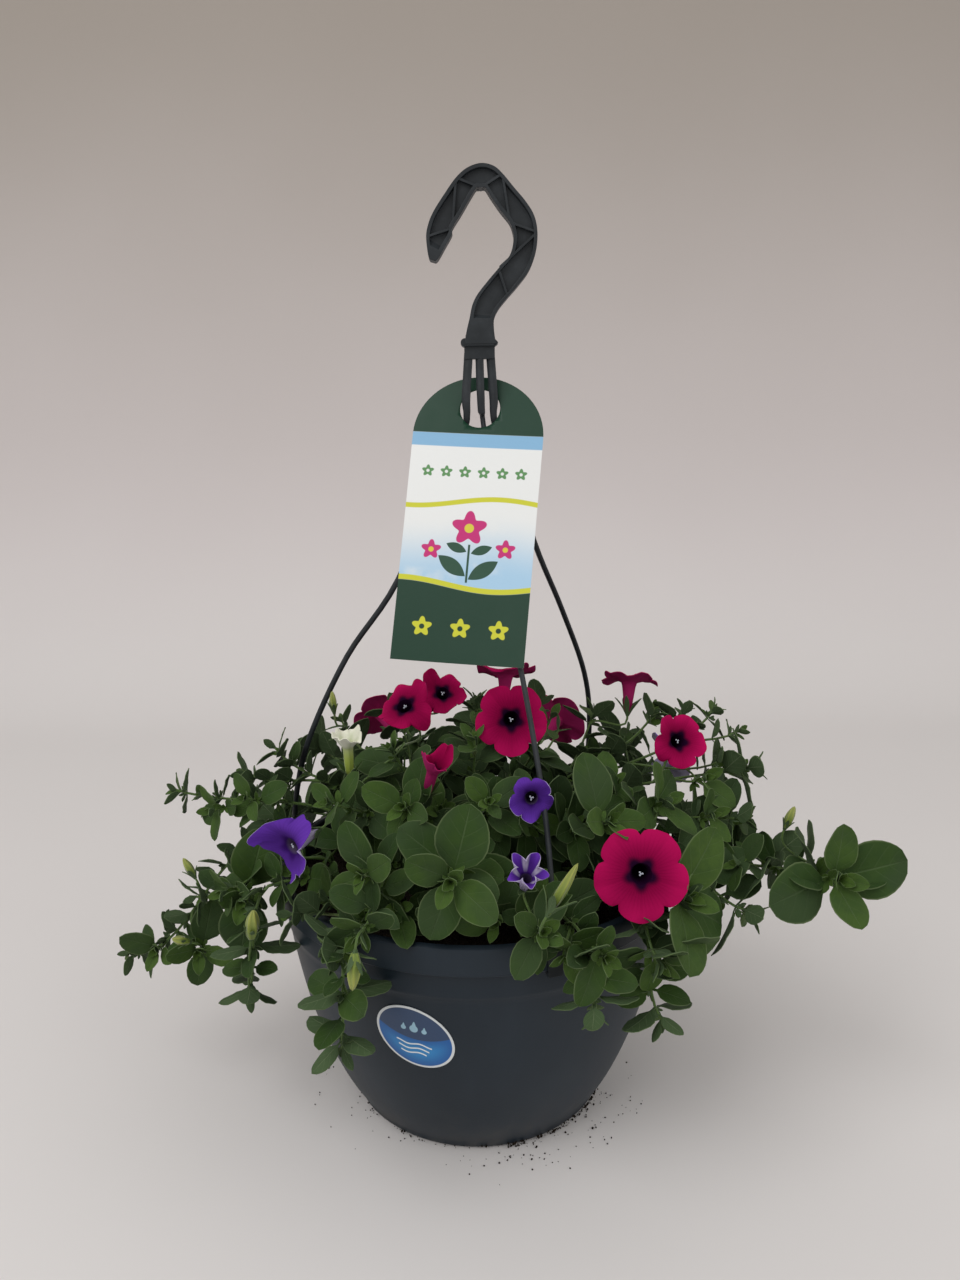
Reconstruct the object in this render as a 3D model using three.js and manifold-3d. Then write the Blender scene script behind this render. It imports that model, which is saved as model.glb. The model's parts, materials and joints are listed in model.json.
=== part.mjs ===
// A trailing petunia in a round hanging pot with its three-armed hanger, in millimetres, +Z up.
// The origin is the middle of the pot's flat underside, and the plant's front is towards -Y.

import * as THREE from "three";
import { mergeVertices } from "three/addons/utils/BufferGeometryUtils.js";
import Module from "manifold-3d";

const wasm = await Module();
wasm.setup();

// Pot
const potSides = 36;
const potTurn = -1;
const wall = 2;
const baseRadius = 89;
const rimTop = 169;
const rimRadius = 137;
const bandHeight = 18;
const bandGap = 2;
const outerWall = [[84, 0], [baseRadius, 5], [100, 24], [111, 50], [120, 78], [127, 110], [131.5, 138]];
const neckRadius = 133;

// False floor over the water store in the bottom of the pot
const floorTop = 66;
const floorThickness = 2;
const floorClearance = 0.5;
const wickRadius = 16;

// Soil
const soilEdge = 150;
const soilMound = 8;
const soilClearance = 0.5;
const holeBottom = 137;
const holeRadius = 4.5;

// Hanger
const clipAzimuths = [169, -71, 49];
const clipWidth = 9;
const neckX = 6.4;
const hookSeatHeight = 604;
const hookDepth = 9.5;
const hookFlange = 2.3;
const pocketDepth = 3.2;
const ribWidth = 1.6;
const armSides = 6;
const armHalfDepth = 1.8;

// Card that hangs on the hanger's neck
const cardThickness = 0.9;
const cardTopWidth = 84.5;
const cardFootWidth = 83;
const cardLength = 189;
const cardArch = 40;
const cardHoleRadius = 13;
const cardHoleDrop = 21.5;
const cardLean = 21.8;
const cardYaw = -6;
const cardRoll = 3.5;

// Oval label on the front of the pot
const labelWidth = 51;
const labelHeight = 42;
const labelThickness = 0.8;
const labelGap = 0.25;
const labelAzimuth = -107.5;
const labelHeightOnPot = 103;
const labelTurn = -32;

// Plant
const stemBottom = 138;
const stemNeck = 162;
const stemStep = 42;
const stemSides = 3;
const stemRadius = 1.5;
const sideStemRadius = 1.2;
const stalkRadius = 1;
const rootSpacing = 11;
const rimPass = 9;
const smallestBlade = 15;
const bladeThickness = 0.85;
const pairSpacing = 24;
const firstPair = 8;
const clearance = 0.35;
const petalThickness = 0.9;
const notchShare = 0.8;
const sidewaysTries = [0, 8, -8, 16, -16, 24, -24, 32, -32, 40, -40];

const colours = {
  potGrey: new THREE.MeshStandardMaterial({ color: 0x2c333a, roughness: 0.45, metalness: 0 }),
  hangerGrey: new THREE.MeshStandardMaterial({ color: 0x24282b, roughness: 0.5, metalness: 0 }),
  soilBrown: new THREE.MeshStandardMaterial({ color: 0x2b1f17, roughness: 1, metalness: 0 }),
  cardWhite: new THREE.MeshStandardMaterial({ color: 0xdfe3e2, roughness: 0.5, metalness: 0 }),
  labelBlue: new THREE.MeshStandardMaterial({ color: 0x28489a, roughness: 0.4, metalness: 0 }),
  leafGreen: new THREE.MeshStandardMaterial({ color: 0x42593a, roughness: 0.75, metalness: 0 }),
  magenta: new THREE.MeshStandardMaterial({ color: 0xa0085a, roughness: 0.7, metalness: 0 }),
  violet: new THREE.MeshStandardMaterial({ color: 0x5a2fa0, roughness: 0.7, metalness: 0 }),
  white: new THREE.MeshStandardMaterial({ color: 0xdfe3cf, roughness: 0.7, metalness: 0 }),
};

const radians = THREE.MathUtils.degToRad;
const upwards = new THREE.Vector3(0, 0, 1);
const object = new THREE.Group();

function add(name, geometry, material) {
  const mesh = new THREE.Mesh(geometry, material);
  mesh.name = name;
  object.add(mesh);
  return mesh;
}

// A repeatable stream of numbers from 0 to 1, the same for the same seed.
function randomStream(seed) {
  let state = seed;
  return () => {
    state = (state * 16807) % 2147483647;
    return state / 2147483647;
  };
}

// Joins equal corners, drops faces without area and turns the faces outwards.
function tidy(geometry) {
  const bare = geometry.clone();
  bare.deleteAttribute("normal");
  bare.deleteAttribute("uv");
  const merged = mergeVertices(bare, 1e-4);
  const corners = merged.index.array;
  const p = merged.attributes.position;
  const kept = [];
  let volume = 0;
  const a = new THREE.Vector3();
  const b = new THREE.Vector3();
  const c = new THREE.Vector3();
  for (let i = 0; i < corners.length; i += 3) {
    const [i0, i1, i2] = [corners[i], corners[i + 1], corners[i + 2]];
    if (i0 === i1 || i1 === i2 || i2 === i0) continue;
    kept.push(i0, i1, i2);
    a.fromBufferAttribute(p, i0);
    b.fromBufferAttribute(p, i1);
    c.fromBufferAttribute(p, i2);
    volume += a.dot(b.cross(c));
  }
  if (volume < 0) kept.reverse();
  merged.setIndex(kept);
  return merged;
}

function solidOf(geometry) {
  const shape = tidy(geometry);
  const vertProperties = Float32Array.from(shape.attributes.position.array);
  const triVerts = Uint32Array.from(shape.index.array);
  return new wasm.Manifold(new wasm.Mesh({ numProp: 3, vertProperties, triVerts }));
}

function geometryOf(solid) {
  const mesh = solid.getMesh();
  const geometry = new THREE.BufferGeometry();
  geometry.setAttribute("position", new THREE.Float32BufferAttribute(mesh.vertProperties, 3));
  geometry.setIndex(Array.from(mesh.triVerts));
  return geometry;
}

function meshOf(points, faces) {
  const geometry = new THREE.BufferGeometry();
  const positions = points.flatMap((point) => point.toArray());
  geometry.setAttribute("position", new THREE.Float32BufferAttribute(positions, 3));
  geometry.setIndex(faces.flat());
  return geometry;
}

function join(solids) {
  return solids.reduce((whole, next) => whole.add(next));
}

// A turned solid about the Z axis from [radius, height] points.
function turned(profile, sides, turn = 0) {
  const points = profile.map(([radius, height]) => new THREE.Vector2(radius, height));
  const geometry = new THREE.LatheGeometry(points, sides);
  geometry.rotateX(Math.PI / 2);
  geometry.rotateZ(radians(turn));
  return tidy(geometry);
}

// A closed solid through rings of equal point counts, with a flat cap at each end.
function lofted(rings) {
  const count = rings[0].length;
  const positions = rings.flat().flatMap((point) => [point.x, point.y, point.z]);
  const index = [];
  for (let i = 0; i + 1 < rings.length; i += 1) {
    for (let j = 0; j < count; j += 1) {
      const here = i * count + j;
      const next = i * count + ((j + 1) % count);
      index.push(here, next, next + count, here, next + count, here + count);
    }
  }
  const last = (rings.length - 1) * count;
  for (let j = 1; j + 1 < count; j += 1) {
    index.push(0, j + 1, j, last, last + j, last + j + 1);
  }
  const geometry = new THREE.BufferGeometry();
  geometry.setAttribute("position", new THREE.Float32BufferAttribute(positions, 3));
  geometry.setIndex(index);
  return tidy(geometry);
}

// A line of straight pieces that can be asked for the point and the direction at a share of its length.
class Line {
  constructor(points) {
    this.points = points;
    this.reach = [0];
    for (let i = 1; i < points.length; i += 1) {
      this.reach.push(this.reach[i - 1] + points[i].distanceTo(points[i - 1]));
    }
    this.length = this.reach.at(-1);
  }

  piece(share) {
    const distance = Math.min(0.9999, Math.max(0, share)) * this.length;
    return this.reach.findIndex((reach) => reach > distance) - 1;
  }

  at(share) {
    const i = this.piece(share);
    const part = (share * this.length - this.reach[i]) / (this.reach[i + 1] - this.reach[i]);
    return this.points[i].clone().lerp(this.points[i + 1], part);
  }

  along(share) {
    const i = this.piece(share);
    return this.points[i + 1].clone().sub(this.points[i]).normalize();
  }
}

// A rod along a line, with a width that may change along it and a depth that may differ from its width.
function rod(line, sides, widthAt, depthAt = widthAt) {
  const last = line.points.length - 1;
  let normal = null;
  const rings = line.points.map((middle, i) => {
    const before = line.points[Math.max(0, i - 1)];
    const after = line.points[Math.min(last, i + 1)];
    const along = after.clone().sub(before).normalize();
    const helper = normal ?? new THREE.Vector3(0.31, 0.95, 0.05);
    normal = helper.clone().addScaledVector(along, -helper.dot(along)).normalize();
    const across = new THREE.Vector3().crossVectors(along, normal);
    const share = line.reach[i] / line.length;
    return Array.from({ length: sides }, (_, j) => {
      const angle = (2 * Math.PI * (j + 0.5)) / sides;
      return middle.clone()
        .addScaledVector(normal, depthAt(share, i) * Math.cos(angle))
        .addScaledVector(across, widthAt(share, i) * Math.sin(angle));
    });
  });
  return lofted(rings);
}

// A stem of even thickness along a line, mitred at its bends so that its long faces stay flat.
function stemRod(line, radius) {
  const { points } = line;
  const last = points.length - 1;
  const leg = (i) => points[i + 1].clone().sub(points[i]).normalize();
  const first = leg(0);
  const normal = new THREE.Vector3(0.31, 0.95, 0.05);
  normal.addScaledVector(first, -normal.dot(first)).normalize();
  const across = new THREE.Vector3().crossVectors(first, normal);
  let ring = Array.from({ length: stemSides }, (_, j) => {
    const angle = (2 * Math.PI * j) / stemSides;
    return points[0].clone()
      .addScaledVector(normal, radius * Math.cos(angle))
      .addScaledVector(across, radius * Math.sin(angle));
  });
  const rings = [ring];
  for (let i = 1; i <= last; i += 1) {
    const along = leg(i - 1);
    const square = i < last ? along.clone().add(leg(i)) : along;
    ring = ring.map((corner) => {
      const run = points[i].clone().sub(corner).dot(square) / along.dot(square);
      return corner.clone().addScaledVector(along, run);
    });
    rings.push(ring);
  }
  return lofted(rings);
}

function polar(radius, azimuth, height) {
  const angle = radians(azimuth);
  return new THREE.Vector3(radius * Math.cos(angle), radius * Math.sin(angle), height);
}

function direction(azimuth, elevation) {
  return polar(Math.cos(radians(elevation)), azimuth, Math.sin(radians(elevation)));
}

// The pot is one moulded shell: a bowl whose rim turns over into a proud band.
function makePot() {
  const skirtFoot = rimTop - bandHeight;
  const innerTop = neckRadius - wall;
  const inner = [...outerWall].reverse().map(([radius, height]) => [radius - wall, Math.max(height, wall)]);
  const profile = [
    [0, 0], ...outerWall,
    [neckRadius, skirtFoot], [neckRadius, rimTop - wall], [neckRadius + bandGap, rimTop - wall],
    [neckRadius + bandGap, skirtFoot], [rimRadius, skirtFoot], [rimRadius, rimTop - 1],
    [rimRadius - 1, rimTop], [innerTop, rimTop],
    ...inner.slice(0, -1), [baseRadius - wall - 3, wall], [0, wall],
  ];
  add("pot", turned(profile, potSides, potTurn), colours.potGrey);
}

// Radius of the pot's inner face at a height, between the points of its outer wall.
function innerRadius(height) {
  const points = [...outerWall, [neckRadius, rimTop]];
  const next = points.findIndex(([, z]) => z > height);
  const [r0, z0] = points[next - 1];
  const [r1, z1] = points[next];
  return r0 + ((r1 - r0) * (height - z0)) / (z1 - z0) - wall;
}

// A slotted false floor keeps the soil above the stored water and stands on the pot's bottom.
function makeReservoirFloor() {
  const edge = innerRadius(floorTop - floorThickness) - floorClearance;
  const legRadius = 70;
  const legFoot = wall + 0.3;
  const plate = turned([
    [0, floorTop - floorThickness], [edge, floorTop - floorThickness], [edge, floorTop], [0, floorTop],
  ], potSides, potTurn);
  let floor = solidOf(plate);
  const wick = turned([
    [0, legFoot], [wickRadius - 3, legFoot], [wickRadius, floorTop - 1], [0, floorTop - 1],
  ], 12);
  floor = floor.add(solidOf(wick));
  for (let i = 0; i < 4; i += 1) {
    const leg = new THREE.CylinderGeometry(6, 4, floorTop - 1 - legFoot, 6);
    leg.rotateX(Math.PI / 2);
    leg.translate(0, 0, (floorTop - 1 + legFoot) / 2);
    const place = polar(legRadius, 45 + 90 * i, 0);
    leg.translate(place.x, place.y, 0);
    floor = floor.add(solidOf(leg));
  }
  for (let i = 0; i < 8; i += 1) {
    const slot = new THREE.BoxGeometry(30, 5, 10);
    slot.translate(46, 0, floorTop);
    slot.rotateZ(radians(22.5 + 45 * i));
    floor = floor.subtract(solidOf(slot));
  }
  add("reservoir_floor", geometryOf(floor), colours.potGrey);
}

// Outline of the hook from its tip round to the neck: [x, height] on the outer side and on the inner side.
const hookOutline = [
  [-25, 565.5, -18.5, 563.5], [-26, 576, -14.5, 570], [-24.5, 583.5, -10, 577.5], [-21, 591, -9.7, 581],
  [-14, 601, -4, 589.5], [-7, 610, 2.4, 599.6], [0, 615.5, 5.6, hookSeatHeight],
  [8.3, 618, 8.2, hookSeatHeight], [16, 616.4, 10.8, hookSeatHeight], [21.5, 612, 14.2, 599],
  [28.5, 604, 20, 591], [36, 595.5, 25.8, 584], [41, 587.5, 28, 578], [43, 578, 28.2, 573],
  [42, 566.5, 25.7, 564.5], [38, 556, 18.7, 557], [31, 547, 11.7, 549.3], [24.5, 540, 5.2, 541.4],
  [18.6, 533, 2, 535], [15.8, 527, 0.3, 527.5], [15.7, 520, -1.5, 520.5], [16.8, 512, -3.2, 512],
];

// Rings of a flat bar that follows the hook's outline, set in from its edges.
function hookRings(rows, inset, depth) {
  return rows.map(([outerX, outerZ, innerX, innerZ]) => {
    const outer = new THREE.Vector3(outerX, -depth / 2, outerZ);
    const inner = new THREE.Vector3(innerX, -depth / 2, innerZ);
    const step = inner.clone().sub(outer).normalize().multiplyScalar(inset);
    outer.add(step);
    inner.sub(step);
    const back = new THREE.Vector3(0, depth, 0);
    return [outer, inner, inner.clone().add(back), outer.clone().add(back)];
  });
}

// The hook is a flat I-section whose sunk web carries a zigzag of thin ribs on both faces, and it ends in
// a ledge and a plate that splits into the arms.
function makeHook() {
  let hook = solidOf(lofted(hookRings(hookOutline, 0, hookDepth)));
  const pocketRings = hookRings(hookOutline.slice(1, -2), hookFlange, pocketDepth);
  const pocket = solidOf(lofted(pocketRings));
  const bars = [];
  for (let i = 0; i + 2 < pocketRings.length; i += 2) {
    const side = i % 4 === 0 ? 0 : 1;
    const from = pocketRings[i][side];
    const to = pocketRings[i + 2][1 - side];
    const bar = new THREE.BoxGeometry(from.distanceTo(to) + 4, pocketDepth + 2, ribWidth);
    bar.rotateY(-Math.atan2(to.z - from.z, to.x - from.x));
    bar.translate((from.x + to.x) / 2, 0, (from.z + to.z) / 2);
    bars.push(solidOf(bar));
  }
  const recess = pocket.subtract(join(bars));
  const shift = hookDepth / 2;
  hook = hook.subtract(recess.translate([0, -shift, 0])).subtract(recess.translate([0, shift, 0]));
  const ledgeRings = [[10.6, 3.6, 510.6], [12.7, 5.4, 512], [12.7, 5.4, 514.2], [9.8, 4, 516.4]];
  const ledge = lofted(ledgeRings.map(([x, y, z]) => [[x, -y], [x, y], [-x, y], [-x, -y]].map(([dx, dy]) => (
    new THREE.Vector3(neckX + dx, dy, z)))));
  const plate = new THREE.BoxGeometry(19.4, 5, 10);
  plate.translate(neckX, 0, 508);
  return join([hook, solidOf(ledge), solidOf(plate)]);
}

// Centre lines of the three arms, from the neck down to the pot's rim: [x, y, z, half width]. They leave the
// neck as flat straps and turn back through the card's hole.
const armLines = [
  [[-0.6, 0, 507, 2.9], [-1.6, -0.4, 493, 2.9], [-2.6, -0.9, 478, 2.9], [-2.2, 0.2, 469, 2.3],
    [-3.8, 3.8, 461, 2.2], [-14, 7.2, 445, 2.1], [-50, 9, 361, 2], [-88, 16, 306, 2], [-118, 22, 245, 2],
    [-130, 25, 200, 2], [-131.5, 25.6, 173, 2]],
  [[6.3, -0.4, 507, 2.7], [6.5, -1.2, 493, 2.7], [6.9, -1.8, 480, 2.6], [7.3, -0.9, 470, 2.4],
    [8.6, 2, 461, 2.2], [19, -39.5, 361, 2], [30, -62.5, 309, 2], [40, -99, 245, 2], [43.5, -121, 200, 2],
    [43.6, -126.7, 173, 2]],
  [[13.2, 0, 507, 2.9], [14.2, -0.2, 493, 2.9], [15.2, -0.7, 478, 2.9], [15, 0.4, 469, 2.3],
    [16.6, 4, 461, 2.2], [24, 14, 445, 2.1], [44, 36, 382, 2], [66, 62, 330, 2], [86, 88, 276, 2],
    [92, 100, 230, 2], [87.9, 101.1, 173, 2]],
];

// Section of the clip that holds an arm to the rim: it saddles the rim and hooks under its band.
const clipSection = [
  [neckRadius - wall - 5.4, rimTop - 9], [neckRadius - wall - 3.2, rimTop - 9],
  [neckRadius - wall - 1.1, rimTop + 0.4], [rimRadius + 0.4, rimTop + 0.4],
  [rimRadius + 0.4, rimTop - bandHeight - 0.4], [neckRadius + bandGap - 0.6, rimTop - bandHeight - 0.4],
  [neckRadius + bandGap - 0.6, rimTop - bandHeight - 2.6], [rimRadius + 2.6, rimTop - bandHeight - 2.6],
  [rimRadius + 2.6, rimTop + 2.6], [rimRadius, rimTop + 5], [neckRadius - wall - 1, rimTop + 5],
  [neckRadius - wall - 5.4, rimTop + 2.6],
];

function makeHanger() {
  const parts = [makeHook()];
  armLines.forEach((rows, i) => {
    const arm = new Line(rows.map(([x, y, z]) => new THREE.Vector3(x, y, z)));
    parts.push(solidOf(rod(arm, armSides, (share, row) => rows[row][3], () => armHalfDepth)));
    const outline = new THREE.Shape(clipSection.map(([radius, height]) => new THREE.Vector2(radius, height)));
    const clip = new THREE.ExtrudeGeometry(outline, { depth: clipWidth, bevelEnabled: false });
    clip.rotateX(Math.PI / 2);
    clip.translate(0, clipWidth / 2, 0);
    clip.rotateZ(radians(clipAzimuths[i]));
    parts.push(solidOf(clip));
  });
  add("hanger", geometryOf(join(parts)), colours.hangerGrey);
}

// The card's top strip lies behind the neck and its foot leans on the front arm.
function makeCard() {
  const shape = new THREE.Shape();
  const half = cardTopWidth / 2;
  const foot = cardFootWidth / 2;
  shape.moveTo(-foot, -cardLength);
  shape.lineTo(foot, -cardLength);
  shape.lineTo(half, -cardArch);
  shape.absellipse(0, -cardArch, half, cardArch, 0, Math.PI, false, 0);
  const hole = new THREE.Path();
  hole.absarc(0, -cardHoleDrop, cardHoleRadius, 0, 2 * Math.PI, true);
  shape.holes.push(hole);
  const sheet = { depth: cardThickness, bevelEnabled: false, curveSegments: 12 };
  const card = new THREE.ExtrudeGeometry(shape, sheet);
  card.translate(0, cardHoleDrop, -cardThickness / 2);
  card.rotateX(Math.PI / 2);
  card.rotateY(radians(cardRoll));
  card.rotateX(radians(-cardLean));
  card.rotateZ(radians(cardYaw));
  card.translate(neckX, 1.4, 472.5);
  add("tag_card", tidy(card), colours.cardWhite);
}

// The label is a thin oval that follows the round of the pot's wall.
function makeLabel() {
  const shape = new THREE.Shape();
  const turn = radians(labelTurn);
  shape.absellipse(0, 0, labelWidth / 2, labelHeight / 2, 0, 2 * Math.PI, false, turn);
  const blank = new THREE.ExtrudeGeometry(shape, { depth: 60, bevelEnabled: false, curveSegments: 11 });
  blank.rotateX(Math.PI / 2);
  blank.translate(0, -90, labelHeightOnPot);
  blank.rotateZ(radians(labelAzimuth + 90));
  const band = (gap) => {
    const points = outerWall.filter(([, z]) => z > 20).map(([radius, z]) => [radius + gap, z]);
    return solidOf(turned([[0, points[0][1]], ...points, [0, points.at(-1)[1]]], potSides, potTurn));
  };
  const skin = band(labelGap + labelThickness).subtract(band(labelGap));
  add("label", geometryOf(solidOf(blank).intersect(skin)), colours.labelBlue);
}

// Shoots: [x, y, z] of the leafy head, [azimuth, elevation] it points to, length of its longest leaves,
// turn of its first pair, pairs along the stem, and for a side shoot its parent and where it leaves it.
const shoots = [
  ["left_high", [-205, -10, 220], [180, 20], 19, 60, 3],
  ["left_middle", [-175, -28, 212], [195, 0], 24, 20, 2, "left_high", 0.7],
  ["left_top", [-140, 10, 243], [160, 50], 25, 40, 2],
  ["left_inner", [-160, 4, 226], [170, 25], 27, 10, 1, "left_top", 0.7],
  ["left_low", [-186, -45, 158], [195, 25], 22, 35, 2],
  ["left_broad", [-150, -62, 165], [205, 10], 40, 75, 1, "left_low", 0.72],
  ["left_hanging", [-146, -78, 106], [215, -70], 27, 15, 3],
  ["left_far", [-247, -10, 99], [180, 10], 21, 50, 2],
  ["left_far_up", [-222, -22, 108], [185, 35], 34, 70, 0, "left_far", 0.86],
  ["left_far_mid", [-188, -42, 118], [205, 20], 33, 80, 0, "left_far", 0.72],
  ["back_left_top", [-95, 30, 256], [140, 60], 23, 0, 2],
  ["front_left_top", [-88, -80, 236], [-135, 35], 29, 70, 2],
  ["front_left", [-42, -100, 240], [-108, 30], 34, 65, 2],
  ["front_middle", [8, -104, 244], [-80, 40], 28, 30, 2],
  ["front_broad", [-14, -140, 212], [-95, 12], 42, 65, 1],
  ["front_left_low", [-64, -128, 210], [-118, 15], 31, 120, 1],
  ["front_left_rim", [-64, -146, 184], [-112, -10], 28, 30, 1, "front_left_low", 0.7],
  ["front_left_hanging", [-78, -142, 112], [-118, -75], 29, 20, 3],
  ["front_right_rim", [36, -150, 186], [-75, -10], 31, 50, 1],
  ["top_right", [52, -10, 268], [-20, 70], 25, 10, 2],
  ["right_high", [126, 16, 262], [8, 60], 28, 30, 2],
  ["top_back_right", [86, 26, 260], [25, 60], 29, 70, 1, "right_high", 0.5],
  ["right_tip", [170, 20, 264], [8, 55], 20, 75, 2],
  ["right_tip_low", [184, 6, 252], [5, 30], 20, 20, 1, "right_tip", 0.8],
  ["right_upper", [188, -14, 233], [-6, 15], 29, 85, 1],
  ["right_inner", [150, -34, 232], [-15, 35], 35, 35, 1, "right_upper", 0.68],
  ["front_right_top", [78, -100, 230], [-55, 35], 38, 80, 1],
  ["right_middle", [176, -34, 204], [-12, 5], 34, 45, 1],
  ["right_shoulder", [118, -66, 228], [-32, 35], 36, 10, 1],
  ["right_far", [232, -30, 168], [-8, 8], 30, 70, 2],
  ["right_far_front", [226, -76, 180], [-72, 25], 48, 0, 0, "right_far", 0.8],
  ["right_lower", [172, -74, 158], [-24, 0], 34, 60, 1],
  ["right_broad", [122, -106, 184], [-62, 30], 56, -45, 0],
  ["front_right_hanging", [66, -150, 138], [-66, -60], 27, 30, 2],
  ["front_right_mid", [70, -152, 172], [-66, 0], 28, 60, 0, "front_right_hanging", 0.7],
  ["front_right_tip", [108, -126, 116], [-48, -40], 27, 10, 2],
  ["top_front", [0, -44, 264], [-95, 65], 30, 50, 1],
  ["top_left", [-52, -50, 258], [-140, 60], 38, 100, 1],
  ["top_back", [2, 42, 266], [90, 75], 29, 20, 1],
  ["back_left_high", [-58, 66, 254], [130, 55], 31, 70, 1],
  ["back_right_high", [50, 74, 254], [55, 55], 31, 10, 1],
  ["back_left", [-122, 78, 222], [147, 25], 33, 30, 1],
  ["back_middle_left", [-56, 124, 220], [115, 25], 35, 75, 1],
  ["back_middle", [16, 132, 224], [84, 25], 36, 15, 1],
  ["back_right", [120, 88, 222], [36, 25], 35, 55, 1],
  ["back_left_low", [-160, 70, 164], [157, 0], 34, 80, 0],
  ["back_low", [-20, 176, 152], [97, -30], 36, 10, 1],
  ["back_left_hanging", [-92, 158, 128], [120, -55], 31, 40, 1, "back_low", 0.62],
  ["back_right_low", [70, 160, 160], [66, -20], 36, 60, 0],
  ["back_right_hanging", [134, 128, 118], [44, -55], 30, 25, 1, "back_right_low", 0.62],
  ["right_back_low", [182, 56, 170], [17, -5], 37, 70, 0],
].map(([name, head, points, leaf, turn, pairs, parent, from]) => (
  { name, head, points, leaf, turn, pairs, parent, from }));

// Blooms: [x, y, z] of the face, [azimuth, elevation] it looks to, radius, length of the tube,
// how far it is open from 0 to 1, its colour, and the shoot that bears it.
const blooms = [
  ["magenta_front", [95, -122, 206], [-94, 16], 28, 32, 1, "magenta", "right_shoulder"],
  ["magenta_centre", [24, -42, 276], [-88, 12], 24, 30, 1, "magenta", "top_front"],
  ["magenta_top", [23, 34, 290], [80, 68], 23, 26, 0.85, "magenta", "top_back"],
  ["magenta_left", [-48, -6, 278], [-115, 48], 24, 28, 1, "magenta", "top_left"],
  ["magenta_left_back", [-22, 34, 276], [-80, 42], 21, 28, 1, "magenta", "back_left_high"],
  ["magenta_folded", [-24, -92, 262], [-60, 62], 12, 26, 0.25, "magenta", "front_left"],
  ["magenta_right_top", [112, 34, 284], [75, 70], 22, 26, 0.9, "magenta", "top_back_right"],
  ["magenta_right", [136, -26, 256], [-75, 25], 21, 28, 0.9, "magenta", "right_inner"],
  ["magenta_back_left", [-78, 128, 236], [125, 30], 25, 30, 1, "magenta", "back_middle_left"],
  ["magenta_back", [70, 136, 226], [62, 20], 26, 30, 1, "magenta", "back_right_high"],
  ["violet_left", [-112, -98, 214], [-128, -8], 25, 26, 0.85, "violet", "front_left_top"],
  ["violet_front", [33, -104, 246], [-92, 14], 17, 24, 0.8, "violet", "front_middle"],
  ["violet_star", [28, -142, 216], [-78, 30], 13, 16, 0.6, "violet", "front_right_rim"],
  ["violet_back", [150, 66, 214], [25, 20], 23, 26, 0.9, "violet", "back_right"],
  ["white_opening", [-80, -54, 266], [-90, 78], 10, 26, 0.3, "white", "top_left"],
].map(([name, face, looks, radius, tube, open, colour, on]) => (
  { name, face, looks, radius, tube, open, colour, on }));

// Closed buds: base point, tip point, greatest radius, and the shoot that bears them.
const buds = [
  [[-97, 8, 268], [-98, 8, 284], 2.4, "back_left_top"],
  [[-185, -46, 172], [-192, -46, 186], 2.6, "left_low"],
  [[-140, -88, 150], [-136, -92, 172], 4.2, "left_hanging"],
  [[38, -158, 200], [54, -162, 232], 2.8, "front_right_rim"],
  [[-66, -156, 180], [-68, -160, 158], 3.6, "front_left_rim"],
  [[-190, -50, 128], [-200, -56, 134], 3, "left_far_mid"],
  [[206, -34, 196], [212, -34, 212], 2.8, "right_far"],
].map(([base, tip, radius, on]) => ({ base, tip, radius, on }));

// Roots stand on rays from the middle, those of the low outer shoots furthest out.
function rootOf(shoot, taken) {
  const [x, y, z] = shoot.head;
  const azimuth = THREE.MathUtils.radToDeg(Math.atan2(y, x));
  const spread = (Math.hypot(x, y) - 0.9 * (z - 150)) / 190;
  let radius = 100 * Math.min(1, Math.max(0.12, spread));
  let root = polar(radius, azimuth, stemBottom);
  while (taken.some((other) => other.distanceTo(root) < rootSpacing)) {
    radius = radius > 95 ? 20 : radius + 3;
    root = polar(radius, azimuth, stemBottom);
  }
  taken.push(root);
  return root;
}

// Points of an arch between two places, each with its direction; the first point is left out.
function arch(start, startAlong, lift, end, endAlong, drop) {
  const p1 = start.clone().addScaledVector(startAlong, lift);
  const p2 = end.clone().addScaledVector(endAlong, -drop);
  const curve = new THREE.CubicBezierCurve3(start, p1, p2, end);
  const steps = Math.max(2, Math.ceil(curve.getLength() / stemStep));
  return curve.getSpacedPoints(steps).slice(1);
}

// A shoot rises out of the soil, arches over and ends in its head. A low one first passes over the rim,
// and a side shoot leaves its parent's stem.
function stemLine(shoot, start, startAlong, sideways) {
  const head = new THREE.Vector3(...shoot.head);
  const along = direction(...shoot.points);
  const radial = head.clone().setZ(0).normalize();
  const across = new THREE.Vector3().crossVectors(upwards, radial).multiplyScalar(sideways);
  if (shoot.parent) {
    const span = start.distanceTo(head);
    const from = startAlong.clone().addScaledVector(across, 0.02).normalize();
    return new Line([start, ...arch(start, from, 0.35 * span, head, along, 0.35 * span)]);
  }
  const neck = start.clone().setZ(stemNeck);
  if (head.z < 190 && Math.hypot(head.x, head.y) > rimRadius) {
    const over = radial.clone().multiplyScalar(rimRadius + 4).add(across).setZ(rimTop + rimPass);
    const first = 0.42 * neck.distanceTo(over);
    const second = 0.34 * over.distanceTo(head);
    const rise = radial.clone().addScaledVector(upwards, 0.15).normalize();
    const climb = arch(neck, upwards, first, over, rise, first);
    return new Line([start, neck, ...climb, ...arch(over, rise, second, head, along, second)]);
  }
  const span = neck.distanceTo(head);
  const lifted = upwards.clone().addScaledVector(across, 0.012).normalize();
  return new Line([start, neck, ...arch(neck, lifted, 0.42 * span, head, along, 0.36 * span)]);
}

// Width of a leaf at a place from its foot, 0, to its tip, 1, as a share of its greatest half width.
function leafShape(t) {
  const petiole = 0.16;
  if (t <= petiole) return 0;
  const u = (t - petiole) / (1 - petiole);
  return Math.sin(Math.PI * u ** 0.86) ** 0.68;
}

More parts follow.
